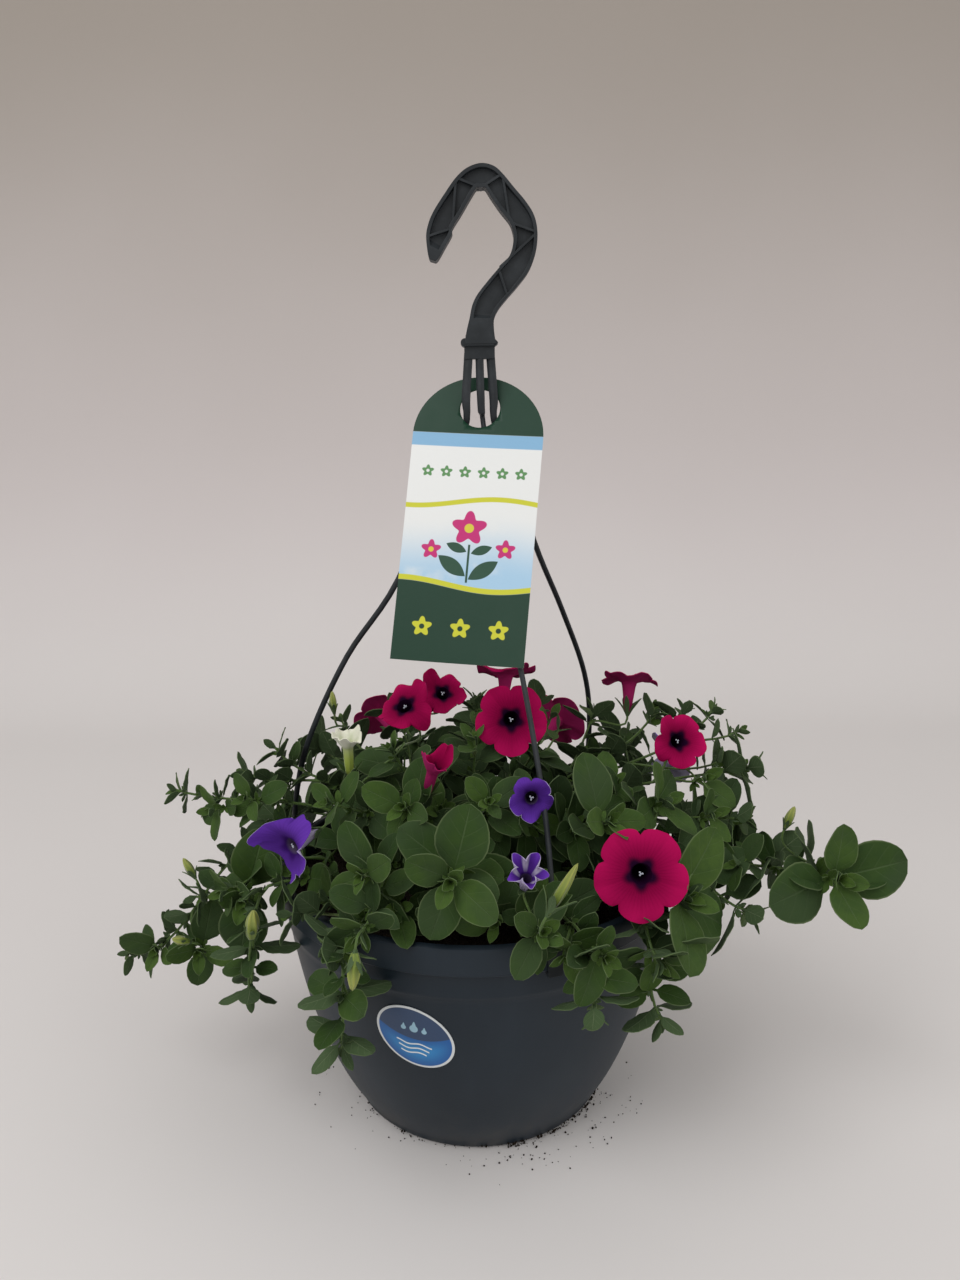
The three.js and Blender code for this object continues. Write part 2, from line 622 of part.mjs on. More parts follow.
// A point of a leaf: t runs from foot to tip and s from -1 to 1 across it.
function leafPoint(leaf, t, s) {
  const half = Math.max(leaf.width * leafShape(t), leaf.petioleWidth * (1 - t));
  const lift = leaf.fold * Math.abs(s) * half - leaf.droop * leaf.length * t * t;
  return leaf.foot.clone()
    .addScaledVector(leaf.along, leaf.length * t)
    .addScaledVector(leaf.side, s * half)
    .addScaledVector(leaf.face, lift);
}

// Places along a leaf where its midrib bends and where its edge has a corner, fewer on a small one.
function leafStations(length) {
  if (length >= 42) return { bend: 0.55, edge: [0.26, 0.52, 0.84] };
  if (length >= 21) return { bend: 1, edge: [0.36, 0.78] };
  return { bend: 1, edge: [0.55] };
}

// One leaf, or an opposite pair as one strip through the stem, folded along the midrib, of even thickness
// and split into the same triangles on both faces, with the stem's three corners as a hole.
function plateOf(leaves, thickness, hole) {
  const points = [];
  const lifts = [];
  const put = (point, lift) => {
    lifts.push(lift);
    return points.push(point) - 1;
  };
  const { foot, stem, side, petioleWidth } = leaves[0];
  const [right, left] = [1, -1].map((s) => put(foot.clone().addScaledVector(side, s * petioleWidth), stem));
  const [r0, r1, r2] = hole.map((point) => put(point, stem));
  const top = [[r0, right, r1], [r0, r2, left]];
  const rim = [];
  const apexes = leaves.map((leaf, which) => {
    const { bend, edge } = leafStations(leaf.length);
    const tip = put(leafPoint(leaf, 1, 0), leaf.face);
    const apex = bend < 1 ? put(leafPoint(leaf, bend, 0), leaf.face) : tip;
    const [rightFoot, leftFoot] = which === 0 ? [right, left] : [left, right];
    const rightEdge = [rightFoot, ...edge.map((t) => put(leafPoint(leaf, t, 1), leaf.face)), tip];
    const leftEdge = [leftFoot, ...edge.map((t) => put(leafPoint(leaf, t, -1), leaf.face)), tip];
    for (let i = 0; i + 1 < rightEdge.length; i += 1) {
      rim.push([rightEdge[i + 1], rightEdge[i]], [leftEdge[i], leftEdge[i + 1]]);
      if (rightEdge[i + 1] !== apex) {
        top.push([apex, rightEdge[i + 1], rightEdge[i]], [apex, leftEdge[i], leftEdge[i + 1]]);
      }
    }
    return apex;
  });
  if (leaves.length === 1) {
    const ahead = new THREE.Vector3().crossVectors(side, stem);
    apexes.push(put(foot.clone().addScaledVector(ahead, -2 * petioleWidth), stem));
    rim.push([right, apexes[1]], [apexes[1], left]);
  }
  const [front, back] = apexes;
  top.push([r0, front, right], [r0, left, front], [right, back, r1], [r1, back, r2], [r2, back, left]);
  const count = points.length;
  const half = thickness / 2;
  const lifted = (s) => points.map((point, i) => point.clone().addScaledVector(lifts[i], s * half));
  const faces = [...top, ...top.map(([p, q, r]) => [p + count, r + count, q + count])];
  rim.forEach(([p, q]) => faces.push([p, p + count, q + count], [p, q + count, q]));
  return {
    points: [...lifted(1), ...lifted(-1)], faces, rings: [[r0, r1, r2].map((i) => i + count), [r0, r1, r2]],
  };
}

// A leaf of some thickness by itself, to test whether it is clear of its neighbours.
function loneLeaf(leaf, thickness) {
  const { bend, edge } = leafStations(leaf.length);
  const apexes = bend < 1 ? [leafPoint(leaf, bend, 0), leafPoint(leaf, 1, 0)] : [leafPoint(leaf, 1, 0)];
  const rightEdge = [0, ...edge].map((t) => leafPoint(leaf, t, 1));
  const leftEdge = [0, ...edge].map((t) => leafPoint(leaf, t, -1));
  const points = [...apexes, ...rightEdge, ...leftEdge];
  const [apex, tip] = [0, apexes.length - 1];
  const right = rightEdge.map((_, i) => apexes.length + i);
  const left = leftEdge.map((_, i) => apexes.length + rightEdge.length + i);
  if (tip !== apex) {
    right.push(tip);
    left.push(tip);
  }
  const top = [[apex, right[0], left[0]]];
  for (let i = 0; i + 1 < right.length; i += 1) {
    top.push([apex, right[i + 1], right[i]], [apex, left[i], left[i + 1]]);
  }
  const outline = [...right.toReversed(), ...left];
  if (tip === apex) outline.push(apex);
  else outline.pop();
  const count = points.length;
  const faces = [...top, ...top.map(([p, q, r]) => [p + count, r + count, q + count])];
  outline.forEach((p, i) => {
    const q = outline[(i + 1) % outline.length];
    faces.push([p, p + count, q + count], [p, q + count, q]);
  });
  const lifted = (s) => points.map((point) => point.clone().addScaledVector(leaf.face, (s * thickness) / 2));
  return solidOf(meshOf([...lifted(1), ...lifted(-1)], faces));
}

// Corners of a stem's three-sided section.
function stemCorners(middle, along, outwards, radius) {
  const across = new THREE.Vector3().crossVectors(along, outwards);
  return [0, 120, 240].map((angle) => middle.clone()
    .addScaledVector(outwards, radius * Math.cos(radians(angle)))
    .addScaledVector(across, radius * Math.sin(radians(angle))));
}

// A stem and its leaves as one closed skin. The strip of each pair has the stem's section as a hole in
// both faces, where the walls of the stem end.
function leafyStem(line, radius, pairs) {
  const points = [];
  const faces = [];
  const put = (point) => points.push(point) - 1;
  const wallsBetween = (lower, upper) => [[0, 1], [1, 2], [2, 0]].forEach(([j, k]) => {
    faces.push([lower[j], lower[k], upper[k]], [lower[j], upper[k], upper[j]]);
  });
  const last = line.points.length - 1;
  const bends = line.points.map((middle, i) => {
    const before = line.points[Math.max(0, i - 1)];
    const after = line.points[Math.min(last, i + 1)];
    return { at: line.reach[i], middle, along: after.clone().sub(before).normalize() };
  }).filter(({ at }, i) => i === 0 || i === last || !pairs.some(([leaf]) => Math.abs(leaf.reach - at) < 1.5));
  const held = pairs.map((pair) => ({ at: pair[0].reach, pair }));
  const stations = [...bends, ...held].sort((a, b) => a.at - b.at);
  let below = null;
  let outwards = new THREE.Vector3(0.31, 0.95, 0.05);
  stations.forEach(({ middle, along, pair }) => {
    if (!pair) {
      outwards = outwards.clone().addScaledVector(along, -outwards.dot(along)).normalize();
      const ring = stemCorners(middle, along, outwards, radius).map(put);
      if (below) wallsBetween(below, ring);
      else faces.push([ring[0], ring[2], ring[1]]);
      below = ring;
      return;
    }
    const { foot, stem, side } = pair[0];
    const ahead = new THREE.Vector3().crossVectors(side, stem);
    const plate = plateOf(pair, bladeThickness, stemCorners(foot, stem, ahead, radius));
    const offset = points.length;
    plate.points.forEach(put);
    plate.faces.forEach((face) => faces.push(face.map((i) => i + offset)));
    const [under, over] = plate.rings.map((ring) => ring.map((i) => i + offset));
    const shift = [0, 1, 2].map((k) => points[under[k]].clone().sub(foot).dot(outwards));
    const k = shift.indexOf(Math.max(...shift));
    wallsBetween(below, [under[k], under[(k + 1) % 3], under[(k + 2) % 3]]);
    below = over;
    outwards = ahead;
  });
  faces.push(below);
  return solidOf(meshOf(points, faces));
}

// The pairs of leaves of a shoot: crossed pairs in the head and further pairs down the stem.
function pairsOf(shoot, line, random) {
  const headPairs = [
    { back: 0, angle: 34, size: 0.45 }, { back: 3, angle: 58, size: 0.78 }, { back: 7, angle: 80, size: 1 },
  ];
  const stemPairs = Array.from({ length: shoot.pairs }, (_, i) => (
    { back: 7 + pairSpacing * (i + 1), angle: 84, size: 1.05 - 0.06 * i }));
  const held = [...headPairs, ...stemPairs].filter(({ back }) => back + firstPair < line.length);
  return held.map((pair, order) => {
    const share = 1 - (pair.back + 0.5) / line.length;
    const foot = line.at(share);
    const stem = line.along(share);
    const u = new THREE.Vector3().crossVectors(upwards, stem);
    if (u.length() < 0.05) u.set(1, 0, 0);
    u.normalize();
    const v = new THREE.Vector3().crossVectors(stem, u);
    return [0, 180].map((opposite) => {
      const turn = radians(shoot.turn + 90 * order + opposite + 24 * (random() - 0.5));
      const angle = radians(pair.angle + 16 * (random() - 0.5));
      const size = shoot.leaf * pair.size * (0.86 + 0.28 * random());
      const outwards = u.clone().multiplyScalar(Math.cos(turn)).addScaledVector(v, Math.sin(turn));
      const along = stem.clone().multiplyScalar(Math.cos(angle)).addScaledVector(outwards, Math.sin(angle));
      const face = stem.clone().multiplyScalar(Math.sin(angle)).addScaledVector(outwards, -Math.cos(angle));
      return {
        foot, stem, along, face,
        reach: share * line.length,
        side: new THREE.Vector3().crossVectors(face, along),
        length: size,
        width: size * (0.2 + 0.16 * Math.min(1, size / 45)),
        petioleWidth: 1.35 + size / 60,
        fold: 0.14 + 0.16 * random(),
        droop: 0.02 + 0.16 * random(),
      };
    });
  });
}

function bloomFrame(bloom) {
  const axis = direction(...bloom.looks);
  const u = new THREE.Vector3().crossVectors(upwards, axis);
  if (u.length() < 0.05) u.set(1, 0, 0);
  u.normalize();
  return { axis, u, v: new THREE.Vector3().crossVectors(axis, u) };
}

// A funnel of five joined petals: a five-sided tube that opens into five lobes with a notch between each two.
function funnel(bloom) {
  const { axis, u, v } = bloomFrame(bloom);
  const face = new THREE.Vector3(...bloom.face);
  const closing = 1 - bloom.open;
  const petals = [0, 1, 2, 3, 4];
  const points = [];
  const faces = [];
  const ring = (places, height, radius, shift) => places.map(([angle, share]) => {
    const turn = radians(angle);
    const away = u.clone().multiplyScalar(Math.cos(turn)).addScaledVector(v, Math.sin(turn));
    const point = face.clone()
      .addScaledVector(axis, height + shift * bloom.open)
      .addScaledVector(away, radius * share - shift * closing);
    return points.push(point) - 1;
  });
  const notches = petals.map((k) => [90 + 72 * k, 1]);
  const lobes = petals.flatMap((k) => [[90 + 72 * k, notchShare], [110 + 72 * k, 1], [142 + 72 * k, 1]]);
  const throat = 0.17 * bloom.radius + 1.4;
  const rimHeight = (closing - 0.06) * bloom.radius;
  const foot = ring(notches, -bloom.tube, 2.2, 0);
  const outerThroat = ring(notches, -3, throat, 0);
  const outerRim = ring(lobes, rimHeight, bloom.radius, 0);
  const innerRim = ring(lobes, rimHeight, bloom.radius, petalThickness);
  const innerThroat = ring(notches, -2.4, throat - 1.1, 0);
  petals.forEach((k) => {
    const next = (k + 1) % 5;
    const [notch, first, second, last] = [3 * k, 3 * k + 1, 3 * k + 2, 3 * next];
    faces.push(
      [foot[k], foot[next], outerThroat[next]], [foot[k], outerThroat[next], outerThroat[k]],
      [outerThroat[k], outerRim[first], outerRim[notch]], [outerThroat[k], outerRim[second], outerRim[first]],
      [outerThroat[k], outerThroat[next], outerRim[second]],
      [outerThroat[next], outerRim[last], outerRim[second]],
      [innerRim[notch], innerRim[first], innerThroat[k]], [innerRim[first], innerRim[second], innerThroat[k]],
      [innerRim[second], innerThroat[next], innerThroat[k]],
      [innerRim[second], innerRim[last], innerThroat[next]],
    );
    [[notch, first], [first, second], [second, last]].forEach(([i, j]) => {
      faces.push([outerRim[i], outerRim[j], innerRim[j]], [outerRim[i], innerRim[j], innerRim[i]]);
    });
  });
  for (let j = 1; j < 4; j += 1) {
    faces.push([foot[0], foot[j + 1], foot[j]], [innerThroat[0], innerThroat[j], innerThroat[j + 1]]);
  }
  return solidOf(meshOf(points, faces));
}

// A stalk from the bearing stem to the foot of a bloom or bud.
function stalk(line, end, endAlong) {
  const start = line.at(Math.max(0.1, 1 - 8 / line.length));
  const neck = end.clone().addScaledVector(endAlong, -3);
  const span = start.distanceTo(neck);
  return new Line([start, ...arch(start, line.along(1), 0.35 * span, neck, endAlong, 0.45 * span), end]);
}

function bud(entry) {
  const base = new THREE.Vector3(...entry.base);
  const tip = new THREE.Vector3(...entry.tip);
  const line = new Line([0, 0.35, 0.75, 1].map((share) => base.clone().lerp(tip, share)));
  return rod(line, 4, (share) => 0.8 + (entry.radius - 0.8) * Math.sin(Math.PI * (0.12 + share * 0.8)));
}

function crosses(solid, others) {
  const box = solid.boundingBox();
  return others.some((other) => {
    const near = other.boundingBox();
    const meets = [0, 1, 2].every((i) => box.min[i] < near.max[i] && box.max[i] > near.min[i]);
    return meets && !other.intersect(solid).isEmpty();
  });
}

// Lays out the stems; one that would cross another is bent sideways.
function makeStems(fixed) {
  const taken = [];
  const lines = {};
  const nodeOf = {};
  const stems = {};
  shoots.forEach((shoot) => {
    const parent = lines[shoot.parent];
    const start = parent ? parent.at(shoot.from) : rootOf(shoot, taken);
    const startAlong = parent ? parent.along(shoot.from) : upwards;
    const node = parent ? nodeOf[shoot.parent] : shoot.name;
    const radius = parent ? sideStemRadius : stemRadius;
    const others = Object.keys(stems).filter((name) => name !== node).flatMap((name) => stems[name]);
    for (const sideways of sidewaysTries) {
      const line = stemLine(shoot, start, startAlong, sideways);
      const test = solidOf(stemRod(line, radius + clearance));
      if (crosses(test, [...others, ...fixed]) && sideways !== sidewaysTries.at(-1)) continue;
      lines[shoot.name] = line;
      nodeOf[shoot.name] = node;
      stems[node] = [...(stems[node] ?? []), solidOf(stemRod(line, radius))];
      break;
    }
  });
  const borne = Object.fromEntries(Object.keys(stems).map((node) => [node, []]));
  return { taken, lines, nodeOf, stems, borne };
}

function makeSoil(roots) {
  const at = (height) => innerRadius(height) - soilClearance;
  const foot = floorTop + 0.3;
  const edge = at(soilEdge);
  const profile = [
    [0, foot], [at(foot), foot], [at(108), 108], [edge, soilEdge],
    [0.6 * edge, soilEdge + 0.7 * soilMound], [0, soilEdge + soilMound],
  ];
  let soil = solidOf(turned(profile, potSides, potTurn));
  roots.forEach((root) => {
    const hole = new THREE.CylinderGeometry(holeRadius, holeRadius, 60, 3);
    hole.rotateX(Math.PI / 2);
    hole.translate(root.x, root.y, holeBottom + 30);
    soil = soil.subtract(solidOf(hole));
  });
  add("soil", geometryOf(soil), colours.soilBrown);
}

makePot();
makeReservoirFloor();
makeHanger();
makeCard();
makeLabel();
const fixed = object.children.map((mesh) => solidOf(mesh.geometry));
const plant = makeStems(fixed);
makeSoil(plant.taken);

function bear(shoot, ...solids) {
  const node = plant.nodeOf[shoot];
  plant.stems[node].push(...solids);
  plant.borne[node].push(...solids);
}

// Blooms first, each with the stalk that its shoot gives it.
const bloomSolids = [];
blooms.forEach((bloom) => {
  const solid = funnel(bloom);
  const { axis } = bloomFrame(bloom);
  const end = new THREE.Vector3(...bloom.face).addScaledVector(axis, -bloom.tube - 0.35);
  const line = stalk(plant.lines[bloom.on], end, axis);
  bear(bloom.on, solidOf(stemRod(line, stalkRadius)));
  bloomSolids.push(solid);
  add(`bloom_${bloom.name}`, geometryOf(solid), colours[bloom.colour]);
});
buds.forEach((entry) => {
  const base = new THREE.Vector3(...entry.base);
  const along = new THREE.Vector3(...entry.tip).sub(base).normalize();
  const line = stalk(plant.lines[entry.on], base.clone().addScaledVector(along, 1), along);
  bear(entry.on, solidOf(stemRod(line, stalkRadius)), solidOf(bud(entry)));
});

// Then the leaves, the largest first; one that would cross another piece or leaf is left out.
const candidates = shoots.flatMap((shoot, i) => {
  const pairs = pairsOf(shoot, plant.lines[shoot.name], randomStream(1000 + 37 * i));
  return pairs.slice(1).map((pair) => ({ pair, shoot: shoot.name, node: plant.nodeOf[shoot.name] }));
});
const longest = ({ pair }) => Math.max(...pair.map((leaf) => leaf.length));
candidates.sort((a, b) => longest(b) - longest(a));
const obstacles = Object.fromEntries(Object.entries(plant.stems).map(([name, list]) => [name, [...list]]));
const leafy = Object.fromEntries(shoots.map((shoot) => [shoot.name, []]));
const thick = bladeThickness + 2 * clearance;
candidates.forEach(({ pair, shoot, node }) => {
  const others = Object.keys(obstacles).filter((name) => name !== node).flatMap((name) => obstacles[name]);
  const foreign = [...fixed, ...bloomSolids, ...others];
  const clear = pair.filter((leaf) => {
    if (leaf.length < smallestBlade) return false;
    const outer = { ...leaf, foot: leafPoint(leaf, 0.3, 0), length: 0.7 * leaf.length };
    return !crosses(loneLeaf(leaf, thick), foreign) && !crosses(loneLeaf(outer, thick), obstacles[node]);
  });
  if (clear.length === 0) return;
  leafy[shoot].push(clear);
  obstacles[node].push(...clear.map((leaf) => loneLeaf(leaf, bladeThickness)));
});
Object.keys(plant.stems).forEach((node) => {
  const grown = shoots.filter(({ name }) => plant.nodeOf[name] === node).map((shoot) => (
    leafyStem(plant.lines[shoot.name], shoot.parent ? sideStemRadius : stemRadius, leafy[shoot.name])));
  add(`shoot_${node}`, geometryOf(join([...grown, ...plant.borne[node]])), colours.leafGreen);
});

export default object;
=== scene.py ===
"""The looks of a trailing petunia in a round hanging pot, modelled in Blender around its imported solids."""

import json
import math
from bisect import bisect_right
from collections import namedtuple

import bmesh
import bpy
from bpy.props import FloatProperty, FloatVectorProperty, IntProperty, PointerProperty
from mathutils import Matrix, Vector, noise
from mathutils.bvhtree import BVHTree

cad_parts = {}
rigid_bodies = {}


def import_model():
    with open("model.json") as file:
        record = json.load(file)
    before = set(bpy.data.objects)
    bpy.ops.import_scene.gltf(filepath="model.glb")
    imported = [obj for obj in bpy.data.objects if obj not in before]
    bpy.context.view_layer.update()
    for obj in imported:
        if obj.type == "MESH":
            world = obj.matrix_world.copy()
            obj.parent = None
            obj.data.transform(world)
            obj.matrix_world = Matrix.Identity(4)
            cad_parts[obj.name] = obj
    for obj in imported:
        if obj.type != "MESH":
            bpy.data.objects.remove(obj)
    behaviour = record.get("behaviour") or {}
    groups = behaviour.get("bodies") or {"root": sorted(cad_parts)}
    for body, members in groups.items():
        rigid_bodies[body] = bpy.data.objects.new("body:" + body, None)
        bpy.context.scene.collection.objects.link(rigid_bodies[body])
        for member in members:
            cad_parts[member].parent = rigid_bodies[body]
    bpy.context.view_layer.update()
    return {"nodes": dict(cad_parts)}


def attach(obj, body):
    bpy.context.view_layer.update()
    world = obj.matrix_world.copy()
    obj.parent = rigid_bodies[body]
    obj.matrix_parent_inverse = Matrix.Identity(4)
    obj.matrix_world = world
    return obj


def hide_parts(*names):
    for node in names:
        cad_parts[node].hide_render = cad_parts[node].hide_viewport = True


bl_info = {
    "name": "Trailing Petunia in a Hanging Pot",
    "version": (1, 0, 0),
    "blender": (4, 5, 0),
    "location": "View3D > Sidebar > Petunia",
    "description": "Builds a trailing petunia with its pot, hanger, hang card and label",
    "category": "Add Mesh",
}

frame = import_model()
MM = 0.001
UP = Vector((0, 0, 1))
FULL_TURN = 2 * math.pi

# All sizes and places down to the property groups are in millimetres, and all angles in degrees

# Pot: [radius, height] up the outside of the wall
OUTER_WALL = [[89, 5], [100, 24], [111, 50], [120, 78], [127, 110], [131, 133.5]]
NECK_RADIUS = 133
RIM_TOP = 169
RIM_RADIUS = 137
BAND_HEIGHT = 18

# Hook, from its tip round to the neck: [x, height] on the outer side and on the inner side, the x of the
# neck, and the width of a rib
HOOK_OUTLINE = [
    [-23.9, 562.7, -20.4, 561.7], [-25, 565.5, -18.5, 563.5], [-26, 576, -14.5, 570],
    [-24.5, 583.5, -10, 577.5], [-21, 591, -9.7, 581], [-14, 601, -4, 589.5], [-7, 610, 2.4, 599.6],
    [0, 615.5, 5.6, 604], [8.3, 618, 8.2, 604], [16, 616.4, 10.8, 604], [21.5, 612, 14.2, 599],
    [28.5, 604, 20, 591], [36, 595.5, 25.8, 584], [41, 587.5, 28, 578], [43, 578, 28.2, 573],
    [42, 566.5, 25.7, 564.5], [38, 556, 18.7, 557], [31, 547, 11.7, 549.3], [24.5, 540, 5.2, 541.4],
    [18.6, 533, 2, 535], [15.8, 527, 0.3, 527.5], [15.7, 520, -1.5, 520.5], [16.8, 512, -3.2, 512],
]
NECK_X = 6.4
RIB_WIDTH = 1.5

# Collar under the hook: [width, depth, lowest, highest] of its steps, [x from the neck, height, radius,
# length] of the round nub on its left, and [x from the neck, height] round the fin on its right
COLLAR_STEPS = [[18.4, 8.8, 510.8, 515.4], [17.6, 8, 515, 517.4], [19.4, 5, 503, 513]]
COLLAR_NUB = [-9.3, 513, 2.6, 7.8]
COLLAR_FIN = [[7.2, 521], [8.4, 516.6], [11.8, 513], [11.6, 512], [9.6, 510.4], [7.2, 511]]
FIN_DEPTH = 7.4

# Arms of the hanger from the neck down to the rim: [x, y, z, half width] and half their depth
ARM_LINES = [
    [[-0.6, 0, 507, 2.9], [-1.6, -0.4, 493, 2.9], [-2.6, -0.9, 478, 2.9], [-2.2, 0.2, 469, 2.3],
     [-3.8, 3.8, 461, 2.2], [-14, 7.2, 445, 2.1], [-50, 9, 361, 2], [-88, 16, 306, 2], [-118, 22, 245, 2],
     [-130, 25, 200, 2], [-131.5, 25.6, 173, 2]],
    [[6.3, -0.4, 507, 2.7], [6.5, -1.2, 493, 2.7], [6.9, -1.8, 480, 2.6], [7.3, -0.9, 470, 2.4],
     [8.6, 2, 461, 2.2], [19, -39.5, 361, 2], [30, -62.5, 309, 2], [40, -99, 245, 2], [43.5, -121, 200, 2],
     [43.6, -126.7, 173, 2]],
    [[13.2, 0, 507, 2.9], [14.2, -0.2, 493, 2.9], [15.2, -0.7, 478, 2.9], [15, 0.4, 469, 2.3],
     [16.6, 4, 461, 2.2], [24, 14, 445, 2.1], [44, 36, 382, 2], [66, 62, 330, 2], [86, 88, 276, 2],
     [92, 100, 230, 2], [87.9, 101.1, 173, 2]],
]
ARM_HALF_DEPTH = 1.7

# Clips of the arms: where they are on the rim, half their width, and [radius, height] round their section
CLIP_AZIMUTHS = [169, -71, 49]
CLIP_HALF_WIDTH = 4.5
CLIP_SECTION = [
    [125.6, 160], [127.8, 160], [129.9, 169.4], [137.4, 169.4], [137.4, 150.6], [134.4, 150.6],
    [134.4, 148.4], [139.6, 148.4], [139.6, 171.6], [137, 174], [130, 174], [125.6, 171.6],
]

# Card: the middle of its hole, and the turns that hang it there, the last one first
CARD_HOLE = Vector((NECK_X, 1.4, 472.5))
CARD_TURNS = [("Z", -6), ("X", -21.8), ("Y", 3.5), ("X", 90)]

# Label: where its middle is on the pot's wall, its turn and its gap to the wall
LABEL_AZIMUTH = -107.5
LABEL_HEIGHT = 103
LABEL_TURN = -32
LABEL_GAP = 0.35

# Soil: [radius, height] up its side, the radius and height of its upper edge and how far it is crowned
SOIL_SIDE = [(0, 66.5), (112, 66.5), (122, 108), (129.4, 148)]
SOIL_RADIUS = 129.2
SOIL_EDGE = 150
SOIL_CROWN = 8

# Loose crumbs: seed of their random draws, how far out they lie on the soil, the radius of the pot's foot,
# how far from it they lie on the floor, and how high they are piled against it
CRUMB_SEED = 4711
CRUMB_REACH = 126
FOOT_RADIUS = 88.8
SPILL_REACH = 34
PILE_HEIGHT = 2.6

# Shoots: name, head, [azimuth, elevation] it points to, length of its longest leaves, turn of its first pair,
# pairs along the stem, and for a side shoot its parent and where it leaves it
SHOOTS = [
    ["left_high", [-205, -10, 220], [180, 20], 19, 60, 3],
    ["left_middle", [-175, -28, 212], [195, 0], 24, 20, 2, "left_high", 0.7],
    ["left_top", [-140, 10, 243], [160, 50], 25, 40, 2],
    ["left_inner", [-160, 4, 226], [170, 25], 27, 10, 1, "left_top", 0.7],
    ["left_low", [-186, -45, 158], [195, 25], 22, 35, 2],
    ["left_broad", [-150, -62, 165], [205, 10], 40, 75, 1, "left_low", 0.72],
    ["left_hanging", [-146, -78, 106], [215, -70], 27, 15, 3],
    ["left_far", [-247, -10, 99], [180, 10], 21, 50, 2],
    ["left_far_up", [-222, -22, 108], [185, 35], 34, 70, 0, "left_far", 0.86],
    ["left_far_mid", [-188, -42, 118], [205, 20], 33, 80, 0, "left_far", 0.72],
    ["back_left_top", [-95, 30, 256], [140, 60], 23, 0, 2],
    ["front_left_top", [-88, -80, 236], [-135, 35], 29, 70, 2],
    ["front_left", [-42, -100, 240], [-108, 30], 34, 65, 2],
    ["front_middle", [8, -104, 244], [-80, 40], 28, 30, 2],
    ["front_broad", [-14, -140, 212], [-95, 12], 42, 65, 1],
    ["front_left_low", [-64, -128, 210], [-118, 15], 31, 120, 1],
    ["front_left_rim", [-64, -146, 184], [-112, -10], 28, 30, 1, "front_left_low", 0.7],
    ["front_left_hanging", [-78, -142, 112], [-118, -75], 29, 20, 3],
    ["front_right_rim", [36, -150, 186], [-75, -10], 31, 50, 1],
    ["top_right", [52, -10, 268], [-20, 70], 25, 10, 2],
    ["right_high", [126, 16, 262], [8, 60], 28, 30, 2],
    ["top_back_right", [86, 26, 260], [25, 60], 29, 70, 1, "right_high", 0.5],
    ["right_tip", [170, 20, 264], [8, 55], 20, 75, 2],
    ["right_tip_low", [184, 6, 252], [5, 30], 20, 20, 1, "right_tip", 0.8],
    ["right_upper", [188, -14, 233], [-6, 15], 29, 85, 1],
    ["right_inner", [150, -34, 232], [-15, 35], 35, 35, 1, "right_upper", 0.68],
    ["front_right_top", [78, -100, 230], [-55, 35], 38, 80, 1],
    ["right_middle", [176, -34, 204], [-12, 5], 34, 45, 1],
    ["right_shoulder", [118, -66, 228], [-32, 35], 36, 10, 1],
    ["right_far", [232, -30, 168], [-8, 8], 30, 70, 2],
    ["right_far_front", [226, -76, 180], [-72, 25], 48, 0, 0, "right_far", 0.8],
    ["right_lower", [172, -74, 158], [-24, 0], 34, 60, 1],
    ["right_broad", [122, -106, 184], [-62, 30], 56, -45, 0],
    ["front_right_hanging", [66, -150, 138], [-66, -60], 27, 30, 2],
    ["front_right_mid", [70, -152, 172], [-66, 0], 28, 60, 0, "front_right_hanging", 0.7],
    ["front_right_tip", [108, -126, 116], [-48, -40], 27, 10, 2],
    ["top_front", [0, -44, 264], [-95, 65], 30, 50, 1],
    ["top_left", [-52, -50, 258], [-140, 60], 38, 100, 1],
    ["top_back", [2, 42, 266], [90, 75], 29, 20, 1],
    ["back_left_high", [-58, 66, 254], [130, 55], 31, 70, 1],
    ["back_right_high", [50, 74, 254], [55, 55], 31, 10, 1],
    ["back_left", [-122, 78, 222], [147, 25], 33, 30, 1],
    ["back_middle_left", [-56, 124, 220], [115, 25], 35, 75, 1],
    ["back_middle", [16, 132, 224], [84, 25], 36, 15, 1],
    ["back_right", [120, 88, 222], [36, 25], 35, 55, 1],
    ["back_left_low", [-160, 70, 164], [157, 0], 34, 80, 0],
    ["back_low", [-20, 176, 152], [97, -30], 36, 10, 1],
    ["back_left_hanging", [-92, 158, 128], [120, -55], 31, 40, 1, "back_low", 0.62],
    ["back_right_low", [70, 160, 160], [66, -20], 36, 60, 0],
    ["back_right_hanging", [134, 128, 118], [44, -55], 30, 25, 1, "back_right_low", 0.62],
    ["right_back_low", [182, 56, 170], [17, -5], 37, 70, 0],
]

